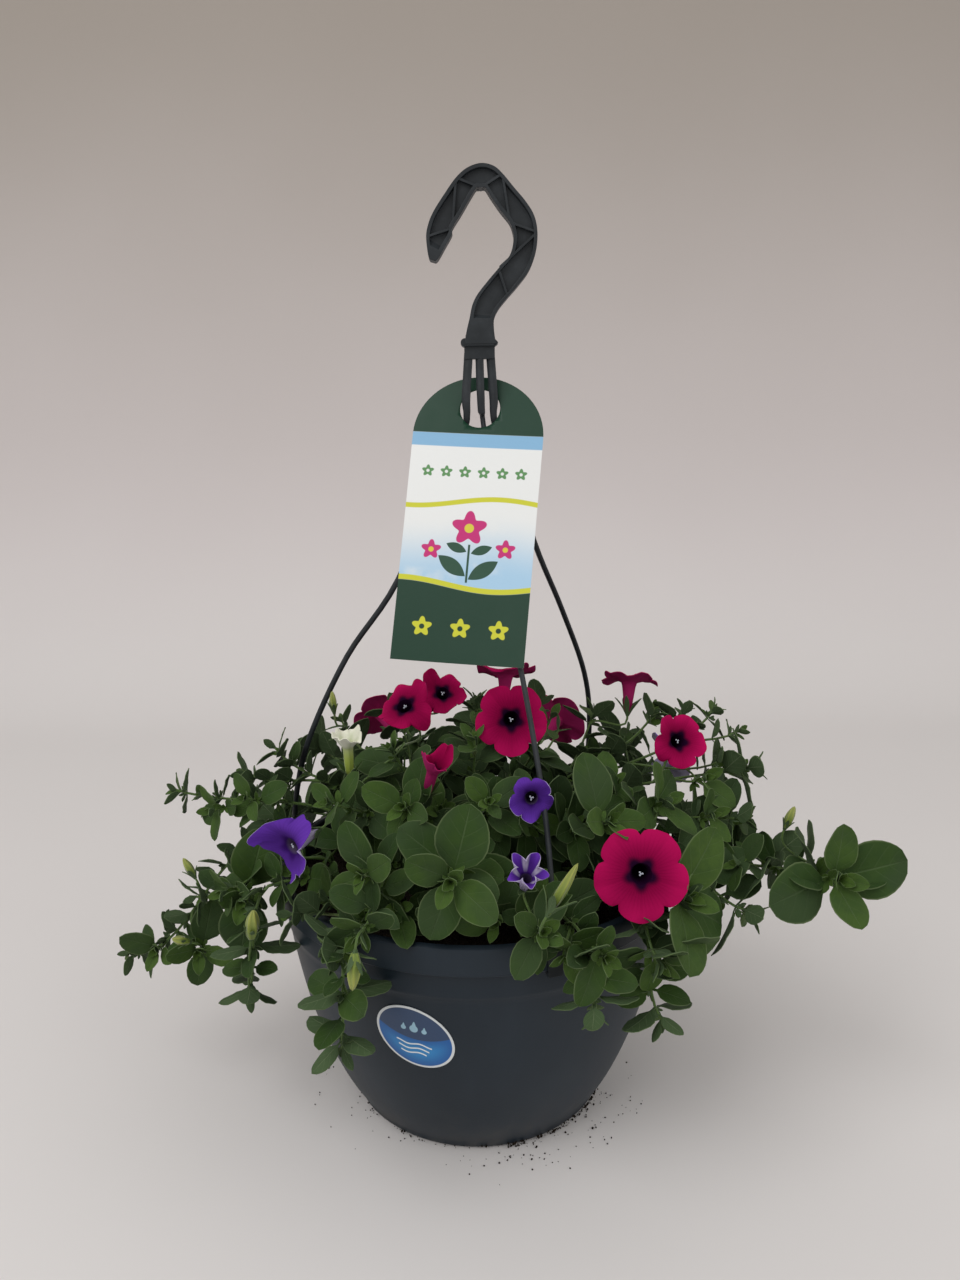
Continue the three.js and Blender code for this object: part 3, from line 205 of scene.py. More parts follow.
# Side shoots beyond those of the solids, in the same order: at the pot's edge, over it, outside and within
SIDE_SHOOTS = [
    ["edge_left", [-114, -64, 182], [-150, 35], 29, 20, 0, "left_hanging", 0.12],
    ["edge_front_left", [-90, -96, 180], [-132, 40], 29, 60, 0, "front_left_hanging", 0.12],
    ["edge_front_left_low", [-46, -116, 184], [-108, 40], 31, 10, 0, "front_left_hanging", 0.13],
    ["edge_front_middle", [-18, -122, 178], [-96, 45], 33, 40, 0, "front_broad", 0.3],
    ["edge_front", [12, -124, 179], [-88, 40], 31, 75, 0, "front_right_rim", 0.3],
    ["edge_front_right", [44, -116, 182], [-68, 40], 31, 15, 0, "front_right_hanging", 0.12],
    ["edge_right_front", [84, -96, 180], [-50, 40], 31, 50, 0, "front_right_hanging", 0.14],
    ["edge_right", [108, -62, 184], [-30, 40], 31, 30, 0, "right_broad", 0.2],
    ["over_left", [-112, -98, 172], [-138, 10], 27, 35, 0, "front_left_hanging", 0.34],
    ["over_front_left", [-84, -122, 166], [-124, -10], 30, 0, 0, "front_left_hanging", 0.5],
    ["over_front_right", [104, -132, 158], [-58, -12], 40, 4, 0, "front_right_tip", 0.5],
    ["over_front", [50, -146, 170], [-72, -15], 29, 20, 0, "front_right_hanging", 0.52],
    ["out_right", [152, -52, 214], [-30, 30], 27, 20, 1, "right_middle", 0.6],
    ["out_right_low", [168, -64, 186], [-38, 10], 27, 60, 1, "right_far_front", 0.4],
    ["out_right_high", [168, -14, 238], [-10, 35], 24, 35, 1, "right_high", 0.62],
    ["out_right_back", [150, 24, 262], [15, 50], 22, 50, 1, "right_upper", 0.6],
    ["out_left", [-150, -38, 224], [-165, 30], 23, 40, 1, "left_high", 0.55],
    ["out_left_low", [-160, -66, 172], [-150, 0], 25, 10, 1, "left_low", 0.55],
    ["edge_back_left", [-84, 92, 184], [132, 40], 31, 30, 0, "back_left_low", 0.2],
    ["edge_back", [-6, 122, 184], [92, 40], 32, 60, 0, "back_low", 0.2],
    ["edge_back_right", [66, 104, 184], [58, 40], 31, 10, 0, "back_right_low", 0.2],
    ["edge_right_back", [112, 50, 184], [25, 40], 31, 45, 0, "right_back_low", 0.2],
    ["inner_far", [8, 64, 240], [85, 55], 33, 20, 1, "back_middle", 0.5],
    ["inner_left", [-70, -40, 212], [-150, 50], 30, 40, 1, "left_low", 0.25],
    ["inner_middle", [-22, -72, 226], [-105, 55], 33, 15, 1, "front_left", 0.5],
    ["inner_front", [34, -78, 222], [-75, 50], 33, 70, 1, "front_middle", 0.5],
    ["inner_right", [90, -44, 232], [-35, 50], 33, 30, 1, "right_middle", 0.45],
    ["inner_back", [60, 20, 250], [30, 60], 30, 60, 1, "top_right", 0.6],
    ["inner_back_left", [-50, 24, 248], [150, 60], 30, 20, 1, "back_left_top", 0.5],
]

# Blooms: name, middle of the face, [azimuth, elevation] it looks to, radius, length of the tube, how far
# it is open, its colour, the shoot that bears it, and how ruffled and how folded it is
Bloom = namedtuple("Bloom", "name face looks radius tube open colour bearer ruffle fold")
BLOOMS = [Bloom(*row) for row in [
    ["magenta_front", [95, -122, 206], [-94, 16], 28, 32, 1, "magenta", "right_shoulder", 0.03, 0],
    ["magenta_centre", [24, -42, 276], [-88, 12], 24, 30, 1, "magenta", "top_front", 0.04, 0],
    ["magenta_top", [23, 34, 290], [80, 68], 23, 26, 0.85, "magenta", "top_back", 0.07, 0.1],
    ["magenta_left", [-48, -6, 278], [-115, 48], 24, 28, 1, "magenta", "top_left", 0.15, 0.3],
    ["magenta_left_back", [-22, 34, 276], [-80, 42], 21, 28, 1, "magenta", "back_left_high", 0.16, 0.32],
    ["magenta_folded", [-24, -92, 262], [-60, 62], 12, 26, 0.25, "magenta", "front_left", 0.16, 0.4],
    ["magenta_right_top", [112, 34, 284], [75, 70], 22, 26, 0.9, "magenta", "top_back_right", 0.07, 0.1],
    ["magenta_right", [136, -26, 256], [-75, 25], 21, 28, 0.9, "magenta", "right_inner", 0.1, 0.2],
    ["magenta_back_left", [-78, 128, 236], [125, 30], 25, 30, 1, "magenta", "back_middle_left", 0.05, 0],
    ["magenta_back", [70, 136, 226], [62, 20], 26, 30, 1, "magenta", "back_right_high", 0.05, 0],
    ["violet_left", [-112, -98, 214], [-128, -8], 25, 26, 0.85, "violet", "front_left_top", 0.14, 0.42],
    ["violet_front", [33, -104, 246], [-92, 14], 17, 24, 0.8, "violet", "front_middle", 0.2, 0.45],
    ["violet_star", [28, -142, 216], [-84, 54], 13, 16, 0.45, "violet", "front_right_rim", 0.1, 0.1],
    ["violet_back", [150, 66, 214], [25, 20], 23, 26, 0.9, "violet", "back_right", 0.07, 0.05],
    ["white_opening", [-80, -54, 266], [-90, 78], 10, 26, 0.3, "white", "top_left", 0.16, 0.1],
]]
STAR_BLOOM = "violet_star"

# Closed buds: base point, tip point, greatest radius, and the shoot that bears them
BUDS = [
    [[-97, 8, 268], [-98, 8, 284], 2.4, "back_left_top"],
    [[-185, -46, 172], [-192, -46, 186], 2.6, "left_low"],
    [[-140, -88, 150], [-136, -92, 172], 4.2, "left_hanging"],
    [[38, -158, 200], [54, -162, 232], 2.8, "front_right_rim"],
    [[-66, -156, 180], [-68, -160, 158], 3.6, "front_left_rim"],
    [[-190, -50, 128], [-200, -56, 134], 3, "left_far_mid"],
    [[206, -34, 196], [212, -34, 212], 2.8, "right_far"],
]

# Middle and radius of what no added leaf may hide from the front
SHOWN = [(Vector(bloom.face), bloom.radius) for bloom in BLOOMS]
SHOWN += [((Vector(base) + Vector(tip)) / 2, 8) for base, tip, *_ in BUDS]

# Stems: radius of the ring of the outermost roots and how far apart roots are, height of the lower ends and
# of the point up to which they stand straight, length of the straight pieces that the solids' stems have,
# how far to one side a stem may bend, and the radius of a stalk
ROOT_RING = 100
ROOT_GAP = 11
STEM_BOTTOM = 138
STEM_NECK = 162
STEM_STEP = 42
SIDEWAYS_TRIES = [0, 8, -8, 16, -16, 24, -24, 32, -32, 40, -40]
STALK_RADIUS = 0.75

# Leaves: share of a leaf that is its stalk, how far the first pair is from a stem's tip, how far apart the
# pairs are, how low leaves may reach over the soil and out to which radius, the places on a leaf that have to
# be clear of other pieces and by how much, and how far off a solid is still looked for
STALK_SHARE = 0.16
FIRST_PAIR = 8
PAIR_SPACING = 24
LOWEST_LEAF = 163
OVER_SOIL = 122
LEAF_SPOTS = [(1, 0), (0.75, 0), (0.75, 1), (0.75, -1), (0.45, 0), (0.45, 1), (0.45, -1)]
LEAF_GAP = 1.6
FAR_OFF = 50.0

# Values of a corner that the materials read: how young a leaf is, whether it is the lower side, how far out
# it is on a bloom, and how near the middle of a lobe
LAYERS = ("tone", "under", "reach", "lobe")

# Camera: its place, how far it looks down and rolls, the width of its sensor, its lens and shift in pixels of
# the photograph, and the photograph's height
VIEWER = Vector((0, -630, 445))
LOOKS_DOWN = 11.2
ROLL = -0.7
SENSOR = 36
LENS_PIXELS = 950
SHIFT_PIXELS = 7
IMAGE_HEIGHT = 1280


class PotSettings(bpy.types.PropertyGroup):
    wall: FloatProperty(name="Wall", description="Thickness of the wall", default=0.002, unit="LENGTH")
    ring: FloatProperty(name="Ring", description="Step under the rim", default=0.0006, unit="LENGTH")
    colour: FloatVectorProperty(
        name="Colour", description="Colour of the moulded plastic", subtype="COLOR", size=3,
        default=(0.0095, 0.0165, 0.0245))


class HangerSettings(bpy.types.PropertyGroup):
    depth: FloatProperty(name="Hook depth", description="Depth of the hook", default=0.0095, unit="LENGTH")
    pocket: FloatProperty(name="Pocket", description="How far its web is sunk", default=0.0032, unit="LENGTH")
    flange: FloatProperty(name="Flange", description="Width of its edges", default=0.0023, unit="LENGTH")
    colour: FloatVectorProperty(
        name="Colour", description="Colour of the hanger", subtype="COLOR", size=3,
        default=(0.012, 0.015, 0.018))


class CardSettings(bpy.types.PropertyGroup):
    width: FloatProperty(name="Width", description="Width at the shoulder", default=0.0845, unit="LENGTH")
    foot: FloatProperty(name="Foot", description="Width at the foot", default=0.083, unit="LENGTH")
    length: FloatProperty(name="Length", description="Length of the card", default=0.189, unit="LENGTH")
    arch: FloatProperty(name="Arch", description="Height of its arched top", default=0.040, unit="LENGTH")
    hole: FloatProperty(name="Hole", description="Radius of its hole", default=0.013, unit="LENGTH")
    drop: FloatProperty(name="Drop", description="From its top to the hole", default=0.0215, unit="LENGTH")
    thickness: FloatProperty(name="Thickness", description="Card thickness", default=0.0007, unit="LENGTH")
    green: FloatVectorProperty(
        name="Green", description="Header and footer", subtype="COLOR", size=3, default=(0.005, 0.036, 0.018))
    blue: FloatVectorProperty(
        name="Blue", description="Pale band", subtype="COLOR", size=3, default=(0.22, 0.42, 0.62))
    yellow: FloatVectorProperty(
        name="Yellow", description="Wavy lines", subtype="COLOR", size=3, default=(0.55, 0.55, 0.03))


class LabelSettings(bpy.types.PropertyGroup):
    width: FloatProperty(name="Width", description="Width of the oval", default=0.051, unit="LENGTH")
    height: FloatProperty(name="Height", description="Height of the oval", default=0.042, unit="LENGTH")
    thickness: FloatProperty(name="Thickness", description="Film thickness", default=0.0004, unit="LENGTH")
    navy: FloatVectorProperty(
        name="Navy", description="Upper field", subtype="COLOR", size=3, default=(0.020, 0.050, 0.12))
    blue: FloatVectorProperty(
        name="Blue", description="Lower field", subtype="COLOR", size=3, default=(0.006, 0.10, 0.34))


class SoilSettings(bpy.types.PropertyGroup):
    crumbs: IntProperty(name="Crumbs", description="Loose crumbs on the soil", default=420, min=0)
    spilled: IntProperty(name="Spilled crumbs", description="Crumbs round the foot", default=460, min=0)
    roughness: FloatProperty(name="Lumps", description="Height of the lumps", default=0.0022, unit="LENGTH")
    colour: FloatVectorProperty(
        name="Colour", description="Damp potting soil", subtype="COLOR", size=3,
        default=(0.028, 0.018, 0.011))


class FoliageSettings(bpy.types.PropertyGroup):
    stem: FloatProperty(name="Stem", description="Radius of a stem", default=0.00125, unit="LENGTH")
    blade: FloatProperty(name="Blade", description="Thickness of a leaf", default=0.0005, unit="LENGTH")
    leaf: FloatVectorProperty(
        name="Leaf", description="Grown leaf", subtype="COLOR", size=3, default=(0.026, 0.056, 0.011))
    young: FloatVectorProperty(
        name="Young leaf", description="Leaf near a tip", subtype="COLOR", size=3,
        default=(0.062, 0.115, 0.018))
    underside: FloatVectorProperty(
        name="Underside", description="Lower side of a leaf", subtype="COLOR", size=3,
        default=(0.065, 0.105, 0.045))


class BloomSettings(bpy.types.PropertyGroup):
    petal: FloatProperty(name="Petal", description="Thickness of a petal", default=0.0005, unit="LENGTH")
    magenta: FloatVectorProperty(
        name="Magenta", description="Magenta petal", subtype="COLOR", size=3, default=(0.355, 0.0004, 0.068))
    violet: FloatVectorProperty(
        name="Violet", description="Violet petal", subtype="COLOR", size=3, default=(0.11, 0.030, 0.34))
    white: FloatVectorProperty(
        name="White", description="Unopened petal", subtype="COLOR", size=3, default=(0.70, 0.70, 0.58))


class StageSettings(bpy.types.PropertyGroup):
    floor: FloatVectorProperty(
        name="Floor", description="Floor and backdrop", subtype="COLOR", size=3, default=(0.72, 0.695, 0.685))
    key: FloatProperty(
        name="Key light", description="Strength of the main light", default=26.0, unit="POWER")
    sky: FloatProperty(name="Sky", description="Strength of the even light", default=0.62)


class Wire:
    """A shader socket. An expression on it adds the Math nodes that work it out."""

    def __init__(self, look, socket):
        self.look = look
        self.socket = socket

    def math(self, operation, *values):
        return self.look.node("ShaderNodeMath", {"operation": operation}, dict(enumerate(values)))

    def __add__(self, other):
        return self.math("ADD", self, other)

    def __radd__(self, other):
        return self.math("ADD", other, self)

    def __sub__(self, other):
        return self.math("SUBTRACT", self, other)

    def __rsub__(self, other):
        return self.math("SUBTRACT", other, self)

    def __mul__(self, other):
        return self.math("MULTIPLY", self, other)

    def __rmul__(self, other):
        return self.math("MULTIPLY", other, self)

    def __truediv__(self, other):
        return self.math("DIVIDE", self, other)

    def __pow__(self, other):
        return self.math("POWER", self, other)

    def __abs__(self):
        return self.math("ABSOLUTE", self)

    def sine(self):
        return self.math("SINE", self)

    def fraction(self):
        return self.math("FRACT", self)

    def most(self, other):
        return self.math("MAXIMUM", self, other)

    def step(self, low, high):
        """0 below low and 1 above high, with a soft change between."""
        return self.look.node("ShaderNodeMapRange", {"interpolation_type": "SMOOTHSTEP"}, {
            "Value": self, "From Min": low, "From Max": high})

    def above(self, edge):
        """1 where a place on a print, in millimetres, is past an edge."""
        return self.step(edge - 0.3, edge + 0.3)

    def between(self, low, high):
        """1 where a place on a print is between two edges."""
        return self.above(low) * (1 - self.above(high))


class Look:
    """A material while its nodes are put together."""

    def __init__(self, name):
        self.material = bpy.data.materials.new(name)
        self.material.use_nodes = True
        self.tree = self.material.node_tree
        self.tree.nodes.clear()

    def node(self, kind, settings=None, sockets=None, output=0):
        made = self.tree.nodes.new(kind)
        for name, value in (settings or {}).items():
            setattr(made, name, value)
        for key, value in (sockets or {}).items():
            if isinstance(value, Wire):
                self.tree.links.new(value.socket, made.inputs[key])
            else:
                made.inputs[key].default_value = value
        return Wire(self, made.outputs[output])

    def places(self):
        """The point on the object, in metres."""
        return self.node("ShaderNodeTexCoord", output=3)

    def split(self, vector):
        apart = self.node("ShaderNodeSeparateXYZ", None, {0: vector})
        return [Wire(self, output) for output in apart.socket.node.outputs]

    def sheet_places(self):
        """Across and along the sheet, each from 0 to 1."""
        return self.split(self.node("ShaderNodeUVMap", {"uv_map": "UVMap"}))[:2]

    def value(self, name):
        return self.node("ShaderNodeAttribute", {"attribute_name": name}, output=2)

    def noise(self, scale, detail=2.0, roughness=0.5, vector=None):
        return self.node("ShaderNodeTexNoise", None, {
            "Vector": self.places() if vector is None else vector, "Scale": scale, "Detail": detail,
            "Roughness": roughness})

    def cells(self, scale):
        return self.node("ShaderNodeTexVoronoi", None, {"Vector": self.places(), "Scale": scale})

    def mix(self, share, first, second):
        """A colour between two others."""
        first, second = (c if isinstance(c, Wire) else (*c, 1) for c in (first, second))
        return self.node("ShaderNodeMix", {"data_type": "RGBA"}, {0: share, 6: first, 7: second}, 2)

    def bump(self, height, distance, strength=1.0):
        return self.node("ShaderNodeBump", None, {
            "Height": height, "Distance": distance, "Strength": strength})

    def finish(self, colour, roughness, normal=None, **others):
        """Ends in the surface shader. The other values are the same all over the surface."""
        sockets = {"Base Color": colour if isinstance(colour, Wire) else (*colour, 1), "Roughness": roughness}
        if normal is not None:
            sockets["Normal"] = normal
        for name, value in others.items():
            sockets[name.replace("_", " ").title().replace("Ior", "IOR")] = value
        surface = self.node("ShaderNodeBsdfPrincipled", None, sockets)
        end = self.tree.nodes.new("ShaderNodeOutputMaterial")
        self.tree.links.new(surface.socket, end.inputs["Surface"])
        return self.material


def repeatable(seed):
    """A stream of numbers from 0 to 1, the same for the same seed."""
    state = seed
    while True:
        state = state * 16807 % 2147483647
        yield state / 2147483647


def smoothed(rows, steps):
    """Rows of numbers, filled in along a smooth curve through them."""
    ends = [rows[0], *rows, rows[-1]]
    filled = []
    for a, b, c, d in zip(ends, ends[1:], ends[2:], ends[3:]):
        for i in range(steps):
            t = i / steps
            filled.append([
                q + 0.5 * t * (r - p + t * (2 * p - 5 * q + 4 * r - s + t * (3 * (q - r) + s - p)))
                for p, q, r, s in zip(a, b, c, d)])
    return [*filled, list(rows[-1])]


class Line:
    """A line of straight pieces that gives the point and the direction at a share of its length."""

    def __init__(self, points):
        self.points = [Vector(p) for p in points]
        self.reach = [0.0]
        for before, after in zip(self.points, self.points[1:]):
            self.reach.append(self.reach[-1] + (after - before).length)
        self.length = self.reach[-1]

    def piece(self, share):
        return bisect_right(self.reach, min(0.9999, max(0.0, share)) * self.length) - 1

    def at(self, share):
        i = self.piece(share)
        part = (share * self.length - self.reach[i]) / (self.reach[i + 1] - self.reach[i])
        return self.points[i].lerp(self.points[i + 1], part)

    def along(self, share):
        i = self.piece(share)
        return (self.points[i + 1] - self.points[i]).normalized()


def polar(radius, azimuth, height=0.0):
    turn = math.radians(azimuth)
    return Vector((radius * math.cos(turn), radius * math.sin(turn), height))


def direction(azimuth, elevation):
    lift = math.radians(elevation)
    return polar(math.cos(lift), azimuth, math.sin(lift))


def around(stem):
    """Two directions square to a stem and to each other."""
    u = UP.cross(stem)
    if u.length < 0.05:
        u = Vector((1, 0, 0))
    u.normalize()
    return u, stem.cross(u)


def turned(u, v, degrees):
    """The direction at an angle from u towards v."""
    angle = math.radians(degrees)
    return u * math.cos(angle) + v * math.sin(angle)


def leaning(stem, away, degrees):
    """The direction of a leaf that leans away from a stem, and the one that its upper side faces."""
    angle = math.radians(degrees)
    return stem * math.cos(angle) + away * math.sin(angle), stem * math.sin(angle) - away * math.cos(angle)


def arch(start, start_along, lift, end, end_along, drop, step):
    """Evenly spaced points of an arch between two places; the first is left out."""
    a, b, c, d = start, start + start_along * lift, end - end_along * drop, end

    def spot(t):
        s = 1 - t
        return a * s**3 + b * 3 * s * s * t + c * 3 * s * t * t + d * t**3

    dense = Line([spot(i / 200) for i in range(201)])
    steps = max(2, math.ceil(dense.length / step))
    places = []
    for k in range(1, steps + 1):
        target = dense.length * k / steps
        i = min(199, bisect_right(dense.reach, target) - 1)
        part = (target - dense.reach[i]) / (dense.reach[i + 1] - dense.reach[i])
        places.append(spot((i + part) / 200))
    return places


def root_of(shoot, taken):
    """Roots stand on rays from the middle, those of the low outer shoots furthest out."""
    x, y, z = shoot["head"]
    azimuth = math.degrees(math.atan2(y, x))
    radius = ROOT_RING * min(1.0, max(0.12, (math.hypot(x, y) - 0.9 * (z - SOIL_EDGE)) / 190))
    root = polar(radius, azimuth, STEM_BOTTOM)
    while any((other - root).length < ROOT_GAP for other in taken):
        radius = 20 if radius > 95 else radius + 3
        root = polar(radius, azimuth, STEM_BOTTOM)
    taken.append(root)
    return root


def stem_line(shoot, start, start_along, sideways, step):
    """A shoot rises, arches over and ends in its head; a low one first passes over the rim."""
    head = Vector(shoot["head"])
    along = direction(*shoot["points"])
    radial = Vector((head.x, head.y, 0)).normalized()
    across = UP.cross(radial) * sideways
    if shoot["parent"]:
        span = (start - head).length
        leaving = (start_along + across * 0.02).normalized()
        return Line([start, *arch(start, leaving, 0.35 * span, head, along, 0.35 * span, step)])
    neck = Vector((start.x, start.y, STEM_NECK))
    if head.z < 190 and math.hypot(head.x, head.y) > RIM_RADIUS:
        over = radial * (RIM_RADIUS + 4) + across
        over.z = RIM_TOP + 9
        first = 0.42 * (neck - over).length
        second = 0.34 * (over - head).length
        rise = (radial + UP * 0.15).normalized()
        climb = arch(neck, UP, first, over, rise, first, step)
        return Line([start, neck, *climb, *arch(over, rise, second, head, along, second, step)])
    span = (neck - head).length
    lifted = (UP + across * 0.012).normalized()
    return Line([start, neck, *arch(neck, lifted, 0.42 * span, head, along, 0.36 * span, step)])


def wall_radius(height, rows=tuple(smoothed(OUTER_WALL, 4))):
    """Radius of the outside of the pot at a height, in millimetres."""
    for (r0, z0), (r1, z1) in zip(rows, rows[1:]):
        if z0 <= height <= z1:
            return r0 + (r1 - r0) * (height - z0) / (z1 - z0)
    return rows[-1][0]


def in_pot(spot):
    """Whether a spot is in the pot's wall, its rim or the soil."""
    radius = spot.xy.length
    if spot.z > RIM_TOP + 2:
        return False
    if radius < OVER_SOIL:
        return spot.z < LOWEST_LEAF
    return radius < (RIM_RADIUS + 2 if spot.z > RIM_TOP - BAND_HEIGHT - 2 else wall_radius(spot.z) + 2)


def before_bloom(spot):
    """Whether a spot would stand before a bloom or bud and hide it from the front."""
    for middle, radius in SHOWN:
        towards = VIEWER - middle
        share = (spot - middle).dot(towards) / towards.length_squared
        if 0 < share < 1 and (middle + towards * share - spot).length < (radius + 1) * (1 - share):
            return True
    return False


def surface_of(node):
    """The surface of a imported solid, in metres, to measure how near a point lies to it."""
    data = frame["nodes"][node].data
    return BVHTree.FromPolygons([v.co for v in data.vertices], [p.vertices for p in data.polygons])


def distance_to(surface, point):
    """Distance from a point in millimetres to a solid's surface, or a large number where it is far."""
    found = surface.find_nearest(point * MM, FAR_OFF * MM)
    return FAR_OFF if found[0] is None else found[3] / MM


def blade_share(t):
    """Half width of a leaf from its foot, 0, to its tip, 1, as a share of its greatest half width."""
    if t <= STALK_SHARE:
        return 0.0
    return max(0.0, math.sin(math.pi * ((t - STALK_SHARE) / (1 - STALK_SHARE)) ** 0.86)) ** 0.68


def solid_leaf_point(leaf, t, s):
    """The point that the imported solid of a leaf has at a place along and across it."""
    half = max(leaf["width"] * blade_share(t), (1.35 + leaf["length"] / 60) * (1 - t))
    lift = leaf["fold"] * abs(s) * half - leaf["droop"] * leaf["length"] * t * t
    return leaf["foot"] + leaf["along"] * leaf["length"] * t + leaf["side"] * s * half + leaf["face"] * lift


def clearance(nodes):
    """A test of whether a leaf is clear of these solids and of the pot, and hides no bloom."""
    surfaces = [surface_of(node) for node in nodes]

    def is_clear(leaf):
        spots = [solid_leaf_point(leaf, t, s) for t, s in LEAF_SPOTS]
        if any(in_pot(spot) or before_bloom(spot) for spot in spots):
            return False
        return all(distance_to(surface, spot) > LEAF_GAP for surface in surfaces for spot in spots)

    return is_clear


def make_leaf(foot, stem, along, face, length, fold, droop, **others):
    """What is known of a leaf: where it grows, how it lies, how large it is and how it is shaped."""
    return {
        "foot": foot, "stem": stem, "along": along, "face": face, "side": face.cross(along), "length": length,
        "width": length * (0.2 + 0.16 * min(1.0, length / 45)), "fold": fold, "droop": droop, **others}


def pairs_of(shoot, line, draw):
    """The crossed pairs of leaves of a shoot, in its head and down its stem.

    A pair has its distance from the tip, how far it opens and its share of the shoot's full leaf length.
    """
    head_pairs = [(0, 34, 0.45), (3, 58, 0.78), (7, 80, 1.0)]
    stem_pairs = [(7 + PAIR_SPACING * (i + 1), 84, 1.05 - 0.06 * i) for i in range(shoot["pairs"])]
    pairs = []
    for order, (back, opening, size) in enumerate(
            [pair for pair in head_pairs + stem_pairs if pair[0] + FIRST_PAIR < line.length]):
        share = 1 - (back + 0.5) / line.length
        stem = line.along(share)
        pair = []
        for opposite in (0, 180):
            away = turned(*around(stem), shoot["turn"] + 90 * order + opposite + 24 * (next(draw) - 0.5))
            along, face = leaning(stem, away, opening + 16 * (next(draw) - 0.5))
            length = shoot["leaf"] * size * (0.86 + 0.28 * next(draw))
            fold = 0.14 + 0.16 * next(draw)
            droop = 0.02 + 0.16 * next(draw)
            pair.append(make_leaf(
                line.at(share), stem, along, face, length, fold, droop, share=share, order=order))
        pairs.append(pair)
    return pairs


def fresh_mesh():
    """An empty mesh with the layers that the materials read."""
    bm = bmesh.new()
    bm.loops.layers.uv.new("UVMap")
    for name in LAYERS:
        bm.verts.layers.float.new(name)
    return bm


def poured(source, target):
    """Adds one mesh to another, numbered in order, and empties the first."""
    data = bpy.data.meshes.new("sheet")
    source.to_mesh(data)
    source.free()
    target.from_mesh(data)
    bpy.data.meshes.remove(data)
    return target


class Piece:
    """A mesh in progress: grids of faces are shaped and added to it, in millimetres."""

    def __init__(self, name):
        self.name = name
        self.bm = fresh_mesh()

    def since(self, count):
        self.bm.verts.ensure_lookup_table()
        return self.bm.verts[count:]

    def grid(self, across, along, place, thickness=0.0, tone=0.0, material=0, values=None, merged=True):
        """Adds a grid whose corner at u, v, each from 0 to 1, goes to place(u, v), then thickens it."""
        sheet = fresh_mesh()
        made = bmesh.ops.create_grid(
            sheet, x_segments=across, y_segments=along, size=0.5, calc_uvs=True)["verts"]
        tones, _, reaches, lobes = (sheet.verts.layers.float[name] for name in LAYERS)
        for vert in made:
            u, v = vert.co.x + 0.5, vert.co.y + 0.5
            vert.co = place(u, v) * MM
            vert[tones] = tone
            if values:
                vert[reaches], vert[lobes] = values(u, v)
        if merged:
            bmesh.ops.remove_doubles(sheet, verts=made, dist=2e-6)
            sheet = poured(sheet, bmesh.new())
        for face in sheet.faces:
            face.material_index = material
        if thickness:
            self.thicken(sheet, thickness)
        poured(sheet, self.bm)

    def thicken(self, sheet, thickness):
        """Gives a sheet its lower side, and pulls in the spikes that a sharp fold would leave there."""
        count = len(sheet.verts)
        kept = sheet.verts.layers.float_vector.new("kept")
        unders = sheet.verts.layers.float["under"]
        for vert in sheet.verts:
            vert[kept] = vert.co
        sheet.normal_update()
        bmesh.ops.solidify(sheet, geom=sheet.faces[:], thickness=thickness)
        sheet.verts.ensure_lookup_table()
        for vert in sheet.verts[count:]:
            upper = vert[kept].copy()
            gap = vert.co - upper
            vert.co = upper + gap * min(1.0, 1.5 * thickness / max(gap.length, 1e-9))
            vert[unders] = 1.0
        sheet.verts.layers.float_vector.remove(kept)

    def lay_flat(self, width, length, foot=0.0):
        """Lets the UV map of a flat sheet run from 0 to 1 across it and along it."""
        uv = self.bm.loops.layers.uv["UVMap"]
        for face in self.bm.faces:
            for loop in face.loops:
                loop[uv].uv = (loop.vert.co.x / width + 0.5, loop.vert.co.y / length + foot)

    def done(self, materials, slot, replaced=(), sharp=40.0):
        """Turns the mesh into an object of the part."""
        bmesh.ops.recalc_face_normals(self.bm, faces=self.bm.faces)
        data = bpy.data.meshes.new(self.name)
        self.bm.to_mesh(data)
        self.bm.free()
        for material in materials:
            data.materials.append(material)
        data.shade_smooth()
        data.set_sharp_from_angle(angle=math.radians(sharp))
        made = bpy.data.objects.new(self.name, data)
        bpy.context.scene.collection.objects.link(made)
        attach(made, "root")
        if replaced:
            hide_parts(*replaced)
        return made


def tube(piece, line, width, depth=None, sides=8, material=0, tone=0.0):
    """Adds a closed rod along a line; width and depth give its half sizes at a share of its length."""
    depth = depth or width
    frames = []
    normal = Vector((0.31, 0.95, 0.05))
    last = len(line.points) - 1
    for i, middle in enumerate(line.points):
        along = (line.points[min(last, i + 1)] - line.points[max(0, i - 1)]).normalized()
        normal = (normal - along * normal.dot(along)).normalized()
        frames.append((middle, normal.copy(), along.cross(normal), line.reach[i] / line.length))
    steps = last + 2

    def place(u, v):
        row = round(v * steps)
        middle, normal, across, share = frames[min(last, max(0, row - 1))]
        if row in (0, steps):
            return middle.copy()
        angle = FULL_TURN * (u + 0.5 / sides)
        return middle + normal * depth(share) * math.cos(angle) + across * width(share) * math.sin(angle)

    piece.grid(sides, steps, place, tone=tone, material=material)


def block(piece, middle, size, turn=Matrix.Identity(4)):
    """Adds a block around its middle, turned in place."""
    scale = Matrix.Diagonal((*(side * MM for side in size), 1))
    bmesh.ops.create_cube(piece.bm, size=1, matrix=Matrix.Translation(middle * MM) @ turn @ scale)


def prism(piece, corners, run):
    """Adds the flat shape between the corners, drawn out along run."""
    face = piece.bm.faces.new([piece.bm.verts.new(corner * MM) for corner in corners])
    drawn = bmesh.ops.extrude_face_region(piece.bm, geom=[face])["geom"]
    moved = [item for item in drawn if isinstance(item, bmesh.types.BMVert)]
    bmesh.ops.translate(piece.bm, verts=moved, vec=run * MM)


def rounded(made, width, angle):
    """Rounds the edges of a finished piece that are sharper than an angle in degrees."""
    soften = made.modifiers.new("rounded_edges", "BEVEL")
    soften.width = width
    soften.segments = 2
    soften.limit_method = "ANGLE"
    soften.angle_limit = math.radians(angle)


